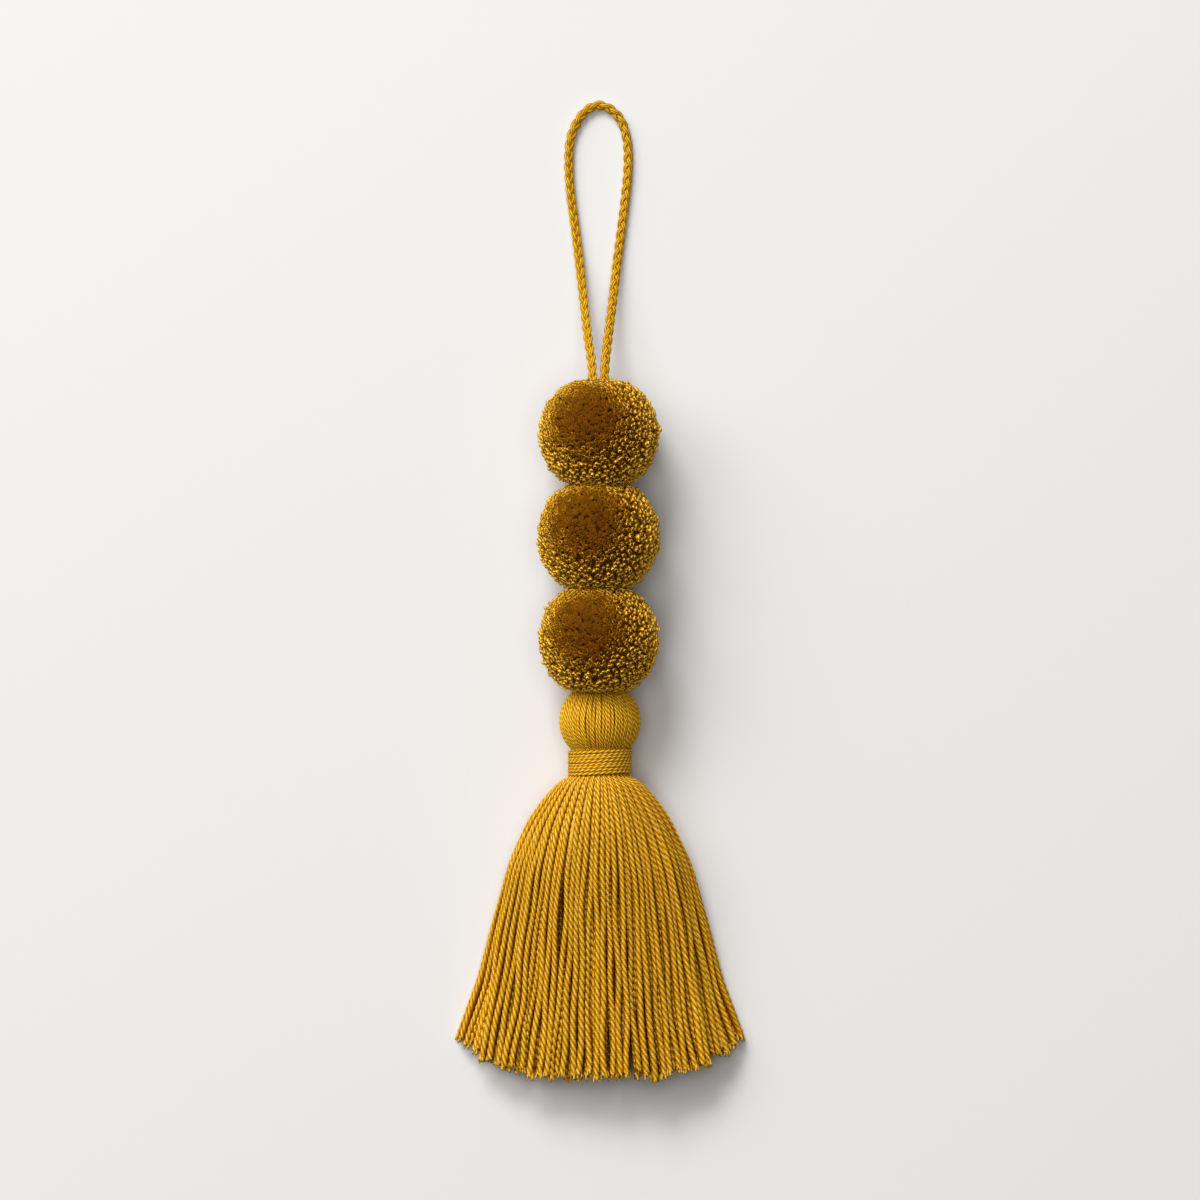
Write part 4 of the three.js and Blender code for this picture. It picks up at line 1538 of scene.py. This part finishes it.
def room_at(half_width, rise, count):
    """The room that each of the layer's yarns has across the skirt, in millimetres."""
    whole = np.zeros((1, len(half_width)))
    height = np.maximum(rise - ROOM_INSET, ROOM_LEAST)
    _, lengths = arch_angles(half_width - ROOM_INSET, height, whole)
    return lengths / count


def ring_places(layer, settings, yarn_radius):
    """Parts of the length for the rings, closer together where a thin yarn twists faster."""
    fine = np.linspace(SKIRT_START, 1, TWIST_PLACES)
    half_width, _, rise = layer_section(fine, layer)
    radius = np.minimum(yarn_radius, YARN_FILL * room_at(half_width, rise, layer["count"]))
    steps = np.diff(fine) * (SKIRT_ROOT_Y - SKIRT_TIP_Y)
    turned = twist_along(radius, steps, settings.ply_angle)
    count = int(math.degrees(turned[-1]) / layer["ring_turn"])
    return np.interp(np.linspace(0, turned[-1], count), turned, fine)


def fanned(centres, outward, radius, turn, along, layer, random):
    """Plied yarns whose cut ends open into small brooms, ply by ply."""
    points = layer["points"]
    count = len(centres)
    shape = lobes(SKIRT_PLIES, points, SKIRT_VALLEY)
    length = (SKIRT_ROOT_Y - SKIRT_TIP_Y) * MM
    to_end = (1 - along) * length
    open_end = 1 - ease(to_end, 0.0, OPEN_LENGTH)
    flare = 1 + random.uniform(*OPEN_FLARE, (count, 1)) * open_end
    crest = (shape - SKIRT_VALLEY) / (1 - SKIRT_VALLEY)
    deeper = 1 - OPEN_GROOVE * open_end[:, None] * (1 - crest)
    reach = (radius * flare)[..., None] * shape * deeper
    own = random.uniform(*CUT_UNEVEN, (count, SKIRT_PLIES))
    own = np.roll(np.repeat(own, points, 1) * MM, points // 2, 1)
    last = 1 - ease(to_end, 0.0, CUT_LENGTH)
    push = own[:, None] * crest * last[:, None]
    # Painted shade between the plies and down the yarn's flanks.
    depth = ply_painted_shade(crest, turn, groove=0.7, flank_shade=0.9)
    tone = random.uniform(*SKIRT_TONES, count)
    yarns = Skin(centres, outward, reach, depth, turn, push, domes=(0.0, -END_HOLLOW),
                 tone=tone, end_marks=SKIRT_END_MARKS)
    return [yarns, wisps(centres, outward, radius, tone, random, BROOM)]


# Sidebar


PIECES = (
    CHARM_OT_stage,
    CHARM_OT_hanging_loop,
    CHARM_OT_pompoms,
    CHARM_OT_tassel_head,
    CHARM_OT_neck_wrap,
    CHARM_OT_tassel_skirt,
)

SETTINGS = (
    ("charm_yarn", CharmYarnSettings),
    ("charm_loop", CharmLoopSettings),
    ("charm_pompoms", CharmPompomSettings),
    ("charm_tassel", CharmTasselSettings),
    ("charm_stage", CharmStageSettings),
)


class CHARM_PT_pieces(bpy.types.Panel):
    """Lists the charm's pieces and their sizes and colours"""

    bl_label = "Charm"
    bl_idname = "CHARM_PT_pieces"
    bl_space_type = "VIEW_3D"
    bl_region_type = "UI"
    bl_category = "Charm"

    def draw(self, context):
        for name, group in SETTINGS:
            box = self.layout.box()
            box.label(text=group.__doc__)
            for key in group.__annotations__:
                box.prop(getattr(context.scene, name), key)
        for piece in PIECES:
            self.layout.operator(piece.bl_idname)


def register():
    """Registers the settings, the operators and the panel."""
    for name, group in SETTINGS:
        bpy.utils.register_class(group)
        setattr(bpy.types.Scene, name, PointerProperty(type=group))
    for piece in (*PIECES, CHARM_PT_pieces):
        bpy.utils.register_class(piece)


def unregister():
    """Takes the panel, the operators and the settings away again."""
    for piece in reversed((*PIECES, CHARM_PT_pieces)):
        bpy.utils.unregister_class(piece)
    for name, group in reversed(SETTINGS):
        delattr(bpy.types.Scene, name)
        bpy.utils.unregister_class(group)


def main():
    """Builds the stage and every piece."""
    register()
    bpy.ops.charm.stage()
    bpy.ops.charm.hanging_loop()
    bpy.ops.charm.pompoms()
    bpy.ops.charm.tassel_head()
    bpy.ops.charm.neck_wrap()
    bpy.ops.charm.tassel_skirt()


if __name__ == "__main__":
    main()
